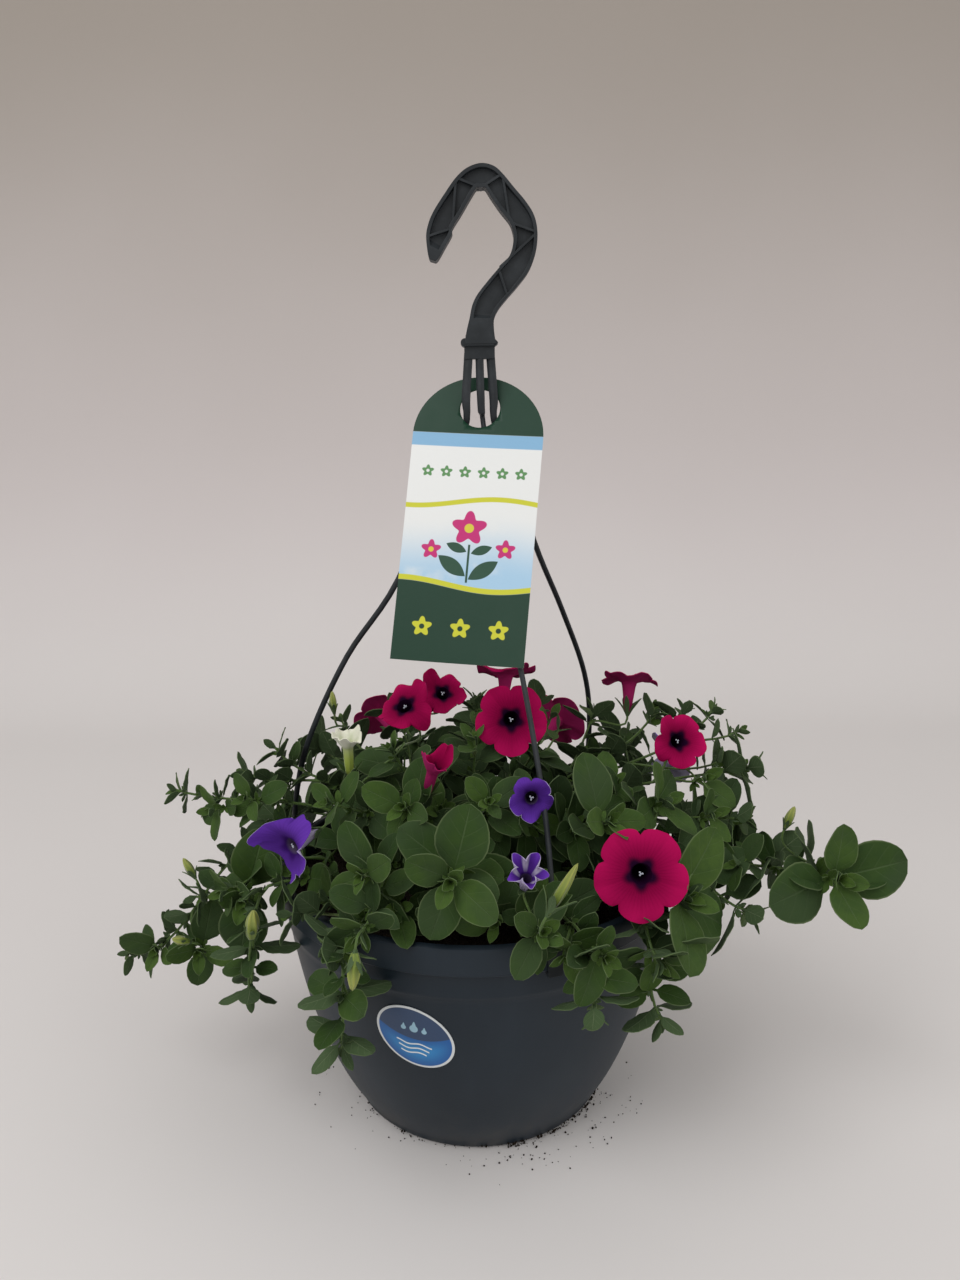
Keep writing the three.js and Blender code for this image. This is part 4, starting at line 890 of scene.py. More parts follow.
def leaf_blade(piece, leaf, draw, thickness, tone):
    """Adds one leaf with a cupped blade, a waved margin and a short stalk."""
    length = leaf["length"]
    across, along = (8, 12) if length >= 30 else (6, 9) if length >= 17 else (4, 6)
    phase = FULL_TURN * next(draw)
    wave = length * (0.006 + 0.012 * next(draw))
    waves = 1.6 + 1.2 * next(draw)
    bend = 0.06 * (next(draw) - 0.5)
    stalk = 0.55 + length / 90
    blunt = 1 - 0.3 * min(1.0, max(0.0, (length - 12) / 16))

    def place(u, v):
        s = 1 - 2 * u
        t = v - 0.07 * math.sin(FULL_TURN * v)
        blade = leaf["width"] * blade_share(t) ** blunt
        half = (blade ** 3 + (stalk * max(0.0, 1 - t) ** 0.5) ** 3 + 0.002) ** (1 / 3)
        edge = s * s
        lift = leaf["fold"] * half * (math.sqrt(edge + 0.012) - 0.11) - leaf["droop"] * length * t * t
        lift += wave * edge * math.sin(waves * FULL_TURN * t + phase + (1.4 if s > 0 else 0.0))
        lift -= 0.06 * half * edge * edge
        return (leaf["foot"] + leaf["along"] * length * t + leaf["side"] * (s * half + bend * length * t * t)
                + leaf["face"] * lift)

    piece.grid(across, along, place, thickness, tone, merged=False)


def sepals(piece, foot, axis, length, opening, draw, thickness, tone=0.45):
    """Adds the five narrow green sepals round the foot of a bloom or bud."""
    for k in range(5):
        away = turned(*around(axis), 18 + 72 * k + 14 * (next(draw) - 0.5))
        along, face = leaning(axis, away, opening + 10 * (next(draw) - 0.5))
        leaf = make_leaf(
            foot + away * 0.5, axis, along, face, length * (0.85 + 0.3 * next(draw)), 0.3,
            0.1 + 0.15 * next(draw))
        leaf["width"] = 0.13 * length
        leaf_blade(piece, leaf, draw, thickness, tone)


def from_lobe(turn):
    """How far an angle in degrees is from the middle of its lobe, from -1 to 1 at the notches."""
    return ((turn - 90) % 72 - 36) / 36


def lobed(turn):
    """Outline of the five joined lobes, from 0.8 in a notch to 1, at an angle in degrees."""
    within = abs(from_lobe(turn))
    return 0.79 + 0.19 * max(0.0, 1 - within ** 2.4) ** 0.55 + 0.02 * math.exp(-(within / 0.14) ** 2)


def bloom_shape(bloom, draw):
    """The places on a trumpet: a narrow tube that opens into a broad limb with a crease down each lobe.

    neck is the share of the grid's rows that is the tube, and q runs from 0 at its end to 1 at the edge.
    """
    axis = direction(*bloom.looks)
    side, up = around(axis)
    face = Vector(bloom.face)
    radius = bloom.radius
    throat = 0.17 * radius + 1.2
    inner_end = -3
    rim = (1 - bloom.open - 0.06) * radius
    steepness = 2.3 if bloom.open > 0.7 else 1.2
    phases = [FULL_TURN * next(draw) for _ in range(5)]
    tilts = [next(draw) - 0.5 for _ in range(5)]
    neck = 0.34

    def tube_place(share):
        out = 0.0 if share == 0 else 1.7 + (throat - 1.9) * share ** 1.7 + 0.5 * math.sin(math.pi * share)
        return out, -bloom.tube + (bloom.tube + inner_end) * share

    def limb_place(turn, q):
        within = from_lobe(turn)
        tilt = tilts[int(((turn - 90) % 360) // 72)]
        folded = bloom.fold * radius * q * q
        edge = radius * (1 + (lobed(turn) - 1) * q ** 1.5)
        if bloom.name == STAR_BLOOM:
            edge *= 1 - 0.45 * q * abs(within)
        height = inner_end + (rim - inner_end) * (1 - (1 - q) ** steepness)
        height -= 0.035 * radius * q * math.exp(-(within / 0.16) ** 2)
        height -= 0.07 * radius * q ** 3 * within * within
        height += bloom.ruffle * radius * q * q * math.sin(math.radians(3 * turn) + phases[0])
        height += 0.6 * bloom.ruffle * radius * q ** 3 * math.sin(math.radians(8 * turn) + phases[1])
        height += bloom.ruffle * 2 * tilt * radius * q ** 2 * (1 - within * within)
        height += folded * math.cos(math.radians(2 * turn) + phases[2])
        return throat + (edge - throat) * q - 0.5 * abs(folded), height

    def polar_place(u, v):
        turn = 90 - 360 * u
        return turn, *(tube_place(v / neck) if v <= neck else limb_place(turn, (v - neck) / (1 - neck)))

    def place(u, v):
        turn, out, height = polar_place(u, v)
        return face + axis * height + turned(side, up, turn) * out

    def values(u, v):
        turn, out, _ = polar_place(u, v)
        reach = out / radius if v > neck else 0.1 * v / neck
        return reach, math.cos(math.radians(5 * (turn - 54)))

    return place, values


def scatter(piece, number, radius, draw, spot):
    """Adds loose crumbs of uneven shape; spot() gives the place and the size of each."""
    for _ in range(number):
        middle, size = spot()
        count = len(piece.bm.verts)
        turn = Matrix.Rotation(6.28 * next(draw), 4, (next(draw) - 0.5, next(draw) - 0.5, 0.3))
        stretch = Matrix.Diagonal((1, 0.55 + 0.5 * next(draw), 0.45 + 0.5 * next(draw), 1))
        matrix = Matrix.Translation(middle * MM) @ turn @ stretch
        bmesh.ops.create_icosphere(piece.bm, subdivisions=1, radius=size * radius * MM, matrix=matrix)
        for vert in piece.since(count):
            vert.co += noise.noise_vector(vert.co * 900) * size * radius * MM * 0.45


def pot_look(settings):
    """Moulded plastic with faint clouds and flow lines, and soil dust near its foot."""
    look = Look("moulded_slate_plastic")
    z = look.split(look.places())[2]
    cloud = look.noise(9, 3)
    streaks = look.noise(1, 3, 0.6, look.node("ShaderNodeMapping", None, {
        "Vector": look.places(), "Scale": (60, 60, 5)}))
    dust = (1 - z.step(0.0, 0.05)) * look.noise(40, 4, 0.6).step(0.42, 0.75)
    worn = tuple(1.35 * c + 0.006 for c in settings.colour)
    colour = look.mix(cloud.step(0.35, 0.7) * 0.5 + streaks.step(0.4, 0.75) * 0.25, settings.colour, worn)
    colour = look.mix(dust * 0.5, colour, (0.11, 0.105, 0.10))
    roughness = 0.36 + streaks * 0.12 + dust * 0.25
    normal = look.bump(look.noise(700, 2) * 0.4 + cloud * 3, 0.00012)
    return look.finish(colour, roughness + 0.05, normal, specular_ior_level=0.27)


def hanger_look(name, base, roughness=0.42):
    """Dark plastic with a finely textured skin that is rubbed lighter in places."""
    look = Look(name)
    cloud = look.noise(55, 3, 0.6)
    rubbed = look.noise(260, 3, 0.65).step(0.55, 0.78)
    lighter = tuple(1.9 * c + 0.012 for c in base)
    colour = look.mix(cloud.step(0.35, 0.75) * 0.45 + rubbed * 0.3, base, lighter)
    normal = look.bump(look.noise(1500, 2) + cloud * 2, 0.00006)
    return look.finish(colour, roughness + cloud * 0.16 - rubbed * 0.05, normal, specular_ior_level=0.33)


def printed_flower(look, colour, x, y, place, petal, eye):
    """Prints a flower of five petals over a colour; place is its middle and its size."""
    middle_x, middle_y, size = place
    dx, dy = x - middle_x, y - middle_y
    far = (dx * dx + dy * dy) ** 0.5
    outline = size * 0.8 + (dx.math("ARCTAN2", dy, dx) * 5).sine() * (size * 0.2)
    colour = look.mix(1 - (far - outline).step(-0.35, 0.35), colour, petal)
    return look.mix(1 - far.step(size * 0.26 - 0.3, size * 0.26 + 0.3), colour, eye)


def printed_leaf(look, colour, x, y, place, fill):
    """Prints a pointed leaf over a colour; place is its middle, half length, half width and lean."""
    middle_x, middle_y, long, wide, lean = place
    c, s = math.cos(math.radians(lean)), math.sin(math.radians(lean))
    dx, dy = x - middle_x, y - middle_y
    a = (dx * c + dy * s) / long
    b = (dy * c - dx * s) / wide
    return look.mix(1 - (a * a + abs(b)).step(0.96, 1.04), colour, fill)


def card_look(settings):
    """Green, blue and yellow fields with plain flowers and leaves.

    x runs across the card from its middle and y up it from its foot, in millimetres.
    """
    look = Look("printed_card")
    u, v = look.sheet_places()
    x = (u - 0.5) * (settings.width / MM)
    y = v * (settings.length / MM)
    wave = (x * 0.055 + 0.6).sine() * 3.2
    white = (0.74, 0.75, 0.74)
    pink = (0.50, 0.02, 0.16)
    straw = (0.62, 0.55, 0.05)
    dull_green = (0.10, 0.25, 0.09)
    upper, lower = y - wave, y + wave
    colour = look.mix(upper.step(52, 96), (0.36, 0.55, 0.72), white)
    colour = look.mix(look.noise(38, 3).step(0.52, 0.68) * 0.5, colour, white)
    colour = look.mix(upper.between(101.9, 105.2), colour, settings.yellow)
    colour = look.mix(y.between(141, 150), colour, settings.blue)
    colour = look.mix(y.above(150), colour, settings.green)
    colour = look.mix(lower.between(48, 51.5), colour, settings.yellow)
    colour = look.mix(1 - lower.above(48), colour, settings.green)
    green = tuple(1.6 * c + 0.01 for c in settings.green)
    stalk = (1 - abs(x - 1).step(0.5, 0.9)) * (1 - y.step(76, 76.6)) * y.step(51, 52)
    colour = look.mix(stalk, colour, green)
    for place in ((-9, 62, 11, 4.6, 145), (11, 60, 11, 4.6, 35), (-7, 74, 7, 3, 160), (9, 73, 7, 3, 20)):
        colour = printed_leaf(look, colour, x, y, place, green)
    for place in ((0, 87, 11.5), (-23, 72, 6.5), (24, 74, 6.5)):
        colour = printed_flower(look, colour, x, y, place, pink, straw)
    for middle in (-30, -18, -6, 6, 18, 30):
        colour = printed_flower(look, colour, x, y, (middle, 124, 4.0), dull_green, white)
    for middle in (-24, 0, 24):
        colour = printed_flower(look, colour, x, y, (middle, 22, 6.4), settings.yellow, settings.green)
    colour = look.mix(look.value("under").step(0.4, 0.6), colour, (0.70, 0.70, 0.68))
    normal = look.bump(look.noise(420, 3), 0.00005)
    return look.finish(colour, 0.38 + look.noise(90, 3) * 0.14, normal, specular_ior_level=0.3)


def label_look(settings):
    """A pale rim round a dark sky and a bright wave, with ripples and drops.

    x and y run from the label's middle, turned so that the wave lies level, in millimetres.
    """
    look = Look("printed_label")
    u, v = look.sheet_places()
    half_width, half_height = settings.width / 2 / MM, settings.height / 2 / MM
    along = (u - 0.5) * 2 * half_width
    across = (v - 0.5) * 2 * half_height
    far = ((along / half_width) ** 2.0 + (across / half_height) ** 2.0) ** 0.5
    tilt = math.radians(25)
    x = along * math.cos(tilt) + across * math.sin(tilt)
    y = across * math.cos(tilt) - along * math.sin(tilt)
    wave = x * x * 0.012 - 1.2
    water = 1 - (y - wave).step(-0.2, 0.2)
    colour = look.mix(water, settings.navy, settings.blue)
    shade = (1 - (y - wave).step(-9, 1.0)) * (1 - far.step(0.5, 0.95))
    colour = look.mix(water * shade, colour, (0.02, 0.22, 0.52))
    for height in (-5.0, -8.4, -11.8):
        line = (y - (x * 0.42).sine() * 0.8) - height
        end = 13.2 + height * 0.45
        ripple = (1 - abs(line).step(0.4, 0.65)) * (1 - abs(x).step(end, end + 0.5))
        colour = look.mix(ripple, colour, (0.72, 0.76, 0.78))
    for dx, dy, size in ((-0.5, 6.6, 2.7), (-7.0, 6.0, 1.7), (6.0, 6.0, 1.7)):
        a, b = x - dx, y - dy
        belly = 1 - ((a * a + b * b) ** 0.5).step(size - 0.25, size + 0.1)
        slope = 1 - abs(a / (size * 0.9)).step(0.0, 1.0) - b / (size * 2.1)
        tip = slope.step(0.0, 0.12) * b.step(0.0, 0.2)
        top = 1 - b.step(size * 1.9, size * 2.1)
        drop = belly.most(tip * top * (1 - abs(a).step(size * 0.8, size)))
        colour = look.mix(drop, colour, (0.30, 0.50, 0.62))
    colour = look.mix(far.step(0.93, 0.945), colour, (0.66, 0.69, 0.70))
    normal = look.bump(look.noise(300, 2), 0.00003)
    return look.finish(colour, 0.3 + look.noise(120, 2) * 0.1, normal)


def soil_look(settings):
    """Dark lumps and grains with paler fibres."""
    look = Look("potting_soil")
    lumps = look.noise(150, 6, 0.7)
    grains = look.cells(520)
    fibres = look.noise(480, 3, 0.7).step(0.60, 0.72)
    darker = tuple(0.4 * c for c in settings.colour)
    colour = look.mix(lumps.step(0.35, 0.65), darker, settings.colour)
    colour = look.mix(fibres * 0.5, colour, (0.10, 0.062, 0.033))
    normal = look.bump(lumps * 2 + grains, 0.0016)
    return look.finish(colour, 0.88 + grains * 0.1, normal, specular_ior_level=0.2)


def leaf_look(settings):
    """A soft leaf with sunken veins, a paler hairy margin and a pale underside."""
    look = Look("petunia_leaf")
    u, v = look.sheet_places()
    tone = look.value("tone")
    under = look.value("under").step(0.4, 0.6)
    off = abs(u - 0.5) * 2
    midrib = 1 - off.step(0.015, 0.05)
    branch = (v * 6.5 - off * 1.5).fraction()
    branches = (1 - abs(branch - 0.5).step(0.02, 0.075)) * (1 - off.step(0.72, 0.98)) * v.step(0.2, 0.3)
    veins = midrib.most(branches * 0.35)
    mottle = look.noise(120, 3, 0.6)
    colour = look.mix(tone.step(0.0, 1.0), settings.leaf, settings.young)
    darker = look.mix(0.55, colour, (0.018, 0.045, 0.012))
    colour = look.mix(mottle.step(0.35, 0.7) * 0.6, colour, darker)
    paler = look.mix(0.5, colour, (0.16, 0.22, 0.11))
    colour = look.mix(veins * 0.34, colour, paler)
    greyer = look.noise(26, 2).step(0.42, 0.62) * (1 - tone.step(0.3, 0.8))
    colour = look.mix(greyer * 0.55, colour, (0.030, 0.050, 0.022))
    margin = off.step(0.92, 1.0).most(v.step(0.975, 1.0))
    colour = look.mix(margin * 0.4, colour, (0.20, 0.25, 0.12))
    colour = look.mix(under, colour, look.mix(veins * 0.5, settings.underside, (0.2, 0.26, 0.14)))
    down = look.noise(2600, 2, 0.6)
    relief = (0 - veins) * (1 - under * 2) + look.noise(420, 3) * 0.35 + down * 0.16
    normal = look.bump(relief, 0.00035, 0.8)
    return look.finish(
        colour, 0.66 + mottle * 0.12, normal, specular_ior_level=0.16, sheen_weight=0.02,
        sheen_roughness=0.4, sheen_tint=(0.75, 0.9, 0.7, 1))


def stem_look(settings):
    """A soft green stem, streaked and a little reddened."""
    look = Look("petunia_stem")
    streak = look.noise(300, 3)
    young = tuple(1.25 * c for c in settings.young)
    colour = look.mix(streak.step(0.3, 0.7), settings.young, young)
    colour = look.mix(look.noise(60, 2).step(0.55, 0.75) * 0.4, colour, (0.12, 0.10, 0.05))
    normal = look.bump(look.noise(1800, 2), 0.0002)
    return look.finish(
        colour, 0.6, normal, sheen_weight=0.35, sheen_roughness=0.4, sheen_tint=(0.85, 0.95, 0.8, 1))


def bud_look():
    """Yellow-green ribs that twist, darker between them and towards the foot."""
    look = Look("petunia_bud")
    u, v = look.sheet_places()
    ribs = (u * (5 * FULL_TURN) + v * 5.0).sine() * 0.5 + 0.5
    colour = look.mix(v.step(0.25, 0.95), (0.15, 0.21, 0.022), (0.33, 0.35, 0.07))
    colour = look.mix((1 - ribs) * 0.45, colour, (0.10, 0.16, 0.03))
    normal = look.bump(ribs + look.noise(900, 2) * 0.3, 0.0004)
    return look.finish(colour, 0.55, normal, sheen_weight=0.3, sheen_roughness=0.4)


def anther_look():
    """Pale, dusty anthers."""
    look = Look("anther")
    return look.finish(look.mix(look.noise(900, 2), (0.55, 0.57, 0.60), (0.30, 0.32, 0.42)), 0.7)


def paper_look(settings):
    """The pale floor and backdrop, with painted shade that darkens the backdrop upwards."""
    look = Look("pale_paper")
    height = look.split(look.places())[2]
    painted_shade_height = height + look.noise(1.6, 2) * 0.2
    # Painted shade: the backdrop darkens a little up to half a metre and much more above it, where its light
    # falls off, made a little uneven by noise
    colour = look.mix(painted_shade_height.step(0.0, 0.5), settings.floor, (0.635, 0.59, 0.585))
    colour = look.mix(painted_shade_height.step(0.3, 1.5), colour, (0.36, 0.32, 0.285))
    return look.finish(colour, 0.85, specular_ior_level=0.2)


def petal_look(name, base, throat, star_reach, back, eye=0.0, pale=0.0):
    """A velvety petal with fine darker veins, a dark star in its throat and a duller back.

    eye says how pale the throat is, and pale how white the petal is between its lobes.
    """
    look = Look(name)
    u, v = look.sheet_places()
    reach, lobe, under = look.value("reach"), look.value("lobe"), look.value("under").step(0.4, 0.6)
    cloud = look.noise(70, 3, 0.55)
    fork = look.noise(150, 2) * 3.0
    veins = ((u * (50 * FULL_TURN) + fork).sine() * 0.5 + 0.5) ** 4.0 * (1 - reach.step(0.35, 0.95)) * 0.6
    mid = lobe.step(0.965, 1.0) * (1 - reach.step(0.6, 1.0))
    deep = tuple(0.45 * c for c in base)
    bright = tuple(min(0.9, 1.18 * c + 0.004) for c in base)
    colour = look.mix(reach.step(0.25, 0.95) * 0.8 + cloud * 0.2, deep, bright)
    colour = look.mix((veins * 0.45).most(mid * 0.5), colour, tuple(0.35 * c for c in base))
    star = 1 - (reach - lobe * 0.045 - cloud * 0.05).step(star_reach - 0.09, star_reach + 0.09)
    colour = look.mix(star, colour, throat)
    colour = look.mix(eye * (1 - reach.step(0.08, 0.22)) * cloud, colour, (0.42, 0.40, 0.24))
    colour = look.mix(pale * (1 - lobe.step(-0.75, 0.1)) * reach.step(0.2, 0.5), colour, (0.52, 0.48, 0.58))
    colour = look.mix(under, colour, look.mix(veins * 0.5 + cloud * 0.3, back, base))
    relief = veins * 0.5 + look.noise(1500, 2) * 0.25 + cloud
    normal = look.bump(relief, 0.0003, 0.7)
    return look.finish(colour, 0.75 + cloud * 0.15, normal, specular_ior_level=0.04)


def white_look(settings):
    """An opening bloom, white at its rim and yellow-green at its foot."""
    look = Look("petal_white")
    u, v = look.sheet_places()
    ribs = ((u * (5 * FULL_TURN)).sine() * 0.5 + 0.5) ** 2.0
    colour = look.mix(v.step(0.18, 0.62), (0.30, 0.38, 0.05), settings.white)
    colour = look.mix(ribs * 0.3 * (1 - v.step(0.6, 0.9)), colour, (0.24, 0.34, 0.08))
    normal = look.bump(ribs + look.noise(600, 2) * 0.5, 0.0003)
    return look.finish(colour, 0.55, normal, sheen_weight=0.3, sheen_roughness=0.4)


class PetuniaPot(bpy.types.Operator):
    """Moulds the pot and gives the false floor its plastic"""

    bl_idname = "petunia.pot"
    bl_label = "Pot"

    def execute(self, context):
        settings = context.scene.petunia_pot
        wall, ring = settings.wall / MM, settings.ring / MM
        skirt = RIM_TOP - BAND_HEIGHT
        outer = smoothed(OUTER_WALL, 4)
        profile = [
            (0, 0.9), (76, 0.9), (78, 0), (84, 0), (86.6, 0.7), (88.2, 2.4), *outer,
            (131 + ring, 134.2), (131.4 + ring, 136), (131.9, 141), (NECK_RADIUS, skirt - 0.4),
            (NECK_RADIUS + 1.6, skirt - 0.4), (RIM_RADIUS - 0.7, skirt), (RIM_RADIUS, skirt + 0.8),
            (RIM_RADIUS, RIM_TOP - 2.6), (RIM_RADIUS - 0.5, RIM_TOP - 0.9), (RIM_RADIUS - 1.8, RIM_TOP),
            (NECK_RADIUS - wall + 1.2, RIM_TOP), (NECK_RADIUS - wall, RIM_TOP - 1.2),
            *[(radius - wall, height) for radius, height in reversed(outer)][:-1], (84, wall), (0, wall),
        ]
        piece = Piece("pot_moulded")
        verts = [piece.bm.verts.new(Vector((radius, 0, height)) * MM) for radius, height in profile]
        edges = [piece.bm.edges.new(pair) for pair in zip(verts, verts[1:])]
        bmesh.ops.spin(
            piece.bm, geom=verts + edges, cent=(0, 0, 0), axis=(0, 0, 1), dvec=(0, 0, 0), angle=FULL_TURN,
            steps=144, use_merge=True)
        bmesh.ops.remove_doubles(piece.bm, verts=piece.bm.verts, dist=2e-6)
        piece.done([pot_look(settings)], "pot", ["pot"], 35)
        floor = frame["nodes"]["reservoir_floor"]
        floor.data.materials.clear()
        floor.data.materials.append(hanger_look("black_recycled_plastic", (0.012, 0.013, 0.014), 0.55))
        return {"FINISHED"}


class PetuniaHanger(bpy.types.Operator):
    """Moulds the hook with its sunk web, the straps, the arms and the clips"""

    bl_idname = "petunia.hanger"
    bl_label = "Hanger"

    def execute(self, context):
        settings = context.scene.petunia_hanger
        half, pocket, flange = settings.depth / 2 / MM, settings.pocket / MM, settings.flange / MM
        look = hanger_look("anthracite_plastic", settings.colour)
        hook = Piece("hanger_moulded")
        self.add_hook(hook, half, pocket, flange)
        self.add_ribs(hook, half, pocket)
        self.add_collar(hook)
        rounded(hook.done([look], "hanger", ["hanger"], 30), 0.00035, 30)
        arms = Piece("hanger_arms")
        for rows, azimuth in zip(ARM_LINES, CLIP_AZIMUTHS):
            self.add_arm(arms, rows, azimuth)
        rounded(arms.done([look], "hanger", sharp=30), 0.0003, 50)
        return {"FINISHED"}

    def add_hook(self, piece, half, pocket, flange):
        """The hook, whose web is sunk between its two edges except at its ends."""
        rows = smoothed(HOOK_OUTLINE, 5)
        last = len(rows) - 1

        def section(row):
            outer_x, outer_z, inner_x, inner_z = rows[row]
            outer, inner = Vector((outer_x, 0, outer_z)), Vector((inner_x, 0, inner_z))
            wide = (inner - outer).length
            sunk = pocket * min(1.0, max(0.0, min(row - 8, last - 10 - row) / 1.5))
            web = min(flange, 0.45 * wide)
            slope = 0.35 if sunk else 0.0
            ring = [
                (0, -half), (web, -half), (web + slope, sunk - half), (wide - web - slope, sunk - half),
                (wide - web, -half), (wide, -half), (wide, half), (wide - web, half),
                (wide - web - slope, half - sunk), (web + slope, half - sunk), (web, half), (0, half)]
            return [outer + (inner - outer).normalized() * a + Vector((0, d, 0)) for a, d in ring]

        def place(u, v):
            row = round(v * (last + 2))
            ring = section(min(last, max(0, row - 1)))
            if row in (0, last + 2):
                return sum(ring, Vector()) / len(ring)
            return ring[round(u * 12) % 12]

        piece.grid(12, last + 2, place)

    def add_ribs(self, piece, half, pocket):
        """Ribs that zigzag from edge to edge over the web, on both sides."""
        stations = HOOK_OUTLINE[2:-3:2]
        for order, (start, end) in enumerate(zip(stations, stations[1:])):
            (ax, az), (bx, bz) = (start[2:], end[:2]) if order % 2 else (start[:2], end[2:])
            a, b = Vector((ax, 0, az)), Vector((bx, 0, bz))
            middle, run = (a + b) / 2, b - a
            turn = Matrix.Rotation(-math.atan2(run.z, run.x), 4, "Y")
            for side in (-1, 1):
                centre = middle + Vector((0, side * (half - pocket / 2 - 0.35), 0))
                block(piece, centre, (run.length - 2.6, pocket + 0.2, RIB_WIDTH), turn)

    def add_collar(self, piece):
        """The stepped collar under the hook with its nub and its fin."""
        for wide, deep, low, high in COLLAR_STEPS:
            block(piece, Vector((NECK_X, 0, (low + high) / 2)), (wide, deep, high - low))
        x, height, radius, length = COLLAR_NUB
        place = Matrix.Translation(Vector((NECK_X + x, 0, height)) * MM)
        bmesh.ops.create_cone(
            piece.bm, cap_ends=True, segments=24, radius1=radius * MM, radius2=radius * MM, depth=length * MM,
            matrix=place @ Matrix.Rotation(math.pi / 2, 4, "X"))
        corners = [Vector((NECK_X + x, -FIN_DEPTH / 2, z)) for x, z in COLLAR_FIN]
        prism(piece, corners, Vector((0, FIN_DEPTH, 0)))

    def add_arm(self, piece, rows, azimuth):
        """One strap that runs on as an arm to the rim, with the clip that saddles it there."""
        fine = smoothed(rows, 6)
        line = Line([row[:3] for row in fine])
        widths = [row[3] for row in fine]

        def width(share):
            return widths[min(len(widths) - 1, bisect_right(line.reach, share * line.length + 0.01) - 1)]

        tube(piece, line, width, lambda share: ARM_HALF_DEPTH, 12)
        turn = Matrix.Rotation(math.radians(azimuth), 4, "Z")
        corners = [turn @ Vector((radius, -CLIP_HALF_WIDTH, height)) for radius, height in CLIP_SECTION]
        prism(piece, corners, turn @ Vector((0, 2 * CLIP_HALF_WIDTH, 0)))


class PetuniaCard(bpy.types.Operator):
    """Cuts, prints and hangs the card"""

    bl_idname = "petunia.card"
    bl_label = "Hang card"

    def execute(self, context):
        settings = context.scene.petunia_card
        card = self.cut(settings)
        self.punch(card, settings)
        self.hang(card, settings)
        return {"FINISHED"}

    def cut(self, settings):
        """The printed card, still flat, a little narrower at its foot and round at its top."""
        width, foot, length, arch_height = (
            value / MM for value in (settings.width, settings.foot, settings.length, settings.arch))
        straight = 0.72

        def outline(v):
            if v <= straight:
                share = v / straight
                return foot / 2 + (width - foot) / 2 * share, (length - arch_height) * share
            angle = math.pi / 2 * (v - straight) / (1 - straight)
            return width / 2 * math.cos(angle), length - arch_height + arch_height * math.sin(angle)

        def place(u, v):
            half, height = outline(v)
            return Vector(((2 * u - 1) * half, height, 0))

        piece = Piece("card_printed")
        piece.grid(16, 60, place, settings.thickness)
        piece.lay_flat(settings.width, settings.length)
        return piece.done([card_look(settings)], "card", ["tag_card"])

    def punch(self, card, settings):
        """Cuts the hole that it hangs by."""
        cutter = Piece("cutter")
        bmesh.ops.create_cone(
            cutter.bm, cap_ends=True, segments=64, radius1=settings.hole, radius2=settings.hole, depth=0.02,
            matrix=Matrix.Translation((0, settings.length - settings.drop, 0)))
        plug = cutter.done([], "card")
        cut = card.modifiers.new("hole", "BOOLEAN")
        cut.object, cut.operation, cut.solver = plug, "DIFFERENCE", "EXACT"
        bpy.context.view_layer.update()
        evaluated = card.evaluated_get(bpy.context.evaluated_depsgraph_get())
        cleared = bpy.data.meshes.new_from_object(evaluated)
        card.modifiers.clear()
        card.data = cleared
        bpy.data.objects.remove(plug)

    def hang(self, card, settings):
        """Bows the card a little and turns it to where it hangs."""
        turn = Matrix.Translation(CARD_HOLE * MM)
        for axis, angle in CARD_TURNS:
            turn = turn @ Matrix.Rotation(math.radians(angle), 4, axis)
        turn = turn @ Matrix.Translation((0, settings.drop - settings.length, 0))
        for vert in card.data.vertices:
            low = 1 - vert.co.y / settings.length
            across = vert.co.x / (settings.width / 2)
            vert.co.z += 0.0016 * across * across * low - 0.0008 * math.sin(math.pi * low)
            vert.co = turn @ vert.co


class PetuniaLabel(bpy.types.Operator):
    """Lays the oval label on the round of the pot"""

    bl_idname = "petunia.label"
    bl_label = "Label"

    def execute(self, context):
        settings = context.scene.petunia_label
        piece = Piece("label_printed")

        def oval(u, v):
            angle = FULL_TURN * u
            half_width, half_height = settings.width / 2 / MM, settings.height / 2 / MM
            return Vector((half_width * v * math.cos(angle), half_height * v * math.sin(angle), 0))

        piece.grid(72, 10, oval)
        piece.lay_flat(settings.width, settings.height, 0.5)
        turn = Matrix.Rotation(math.radians(LABEL_TURN), 2)
        for vert in piece.bm.verts:
            x, height = turn @ (vert.co.xy / MM)
            radius = wall_radius(LABEL_HEIGHT + height) + LABEL_GAP
            lean = math.degrees(math.asin(x / radius))
            vert.co = polar(radius + LABEL_GAP, LABEL_AZIMUTH + lean, LABEL_HEIGHT + height) * MM
        faces = list(piece.bm.faces)
        bmesh.ops.recalc_face_normals(piece.bm, faces=faces)
        if sum(face.normal.dot(face.calc_center_median().xy.to_3d()) for face in faces) < 0:
            bmesh.ops.reverse_faces(piece.bm, faces=faces)
        bmesh.ops.solidify(piece.bm, geom=faces, thickness=settings.thickness)
        piece.done([label_look(settings)], "label", ["label"])
        return {"FINISHED"}


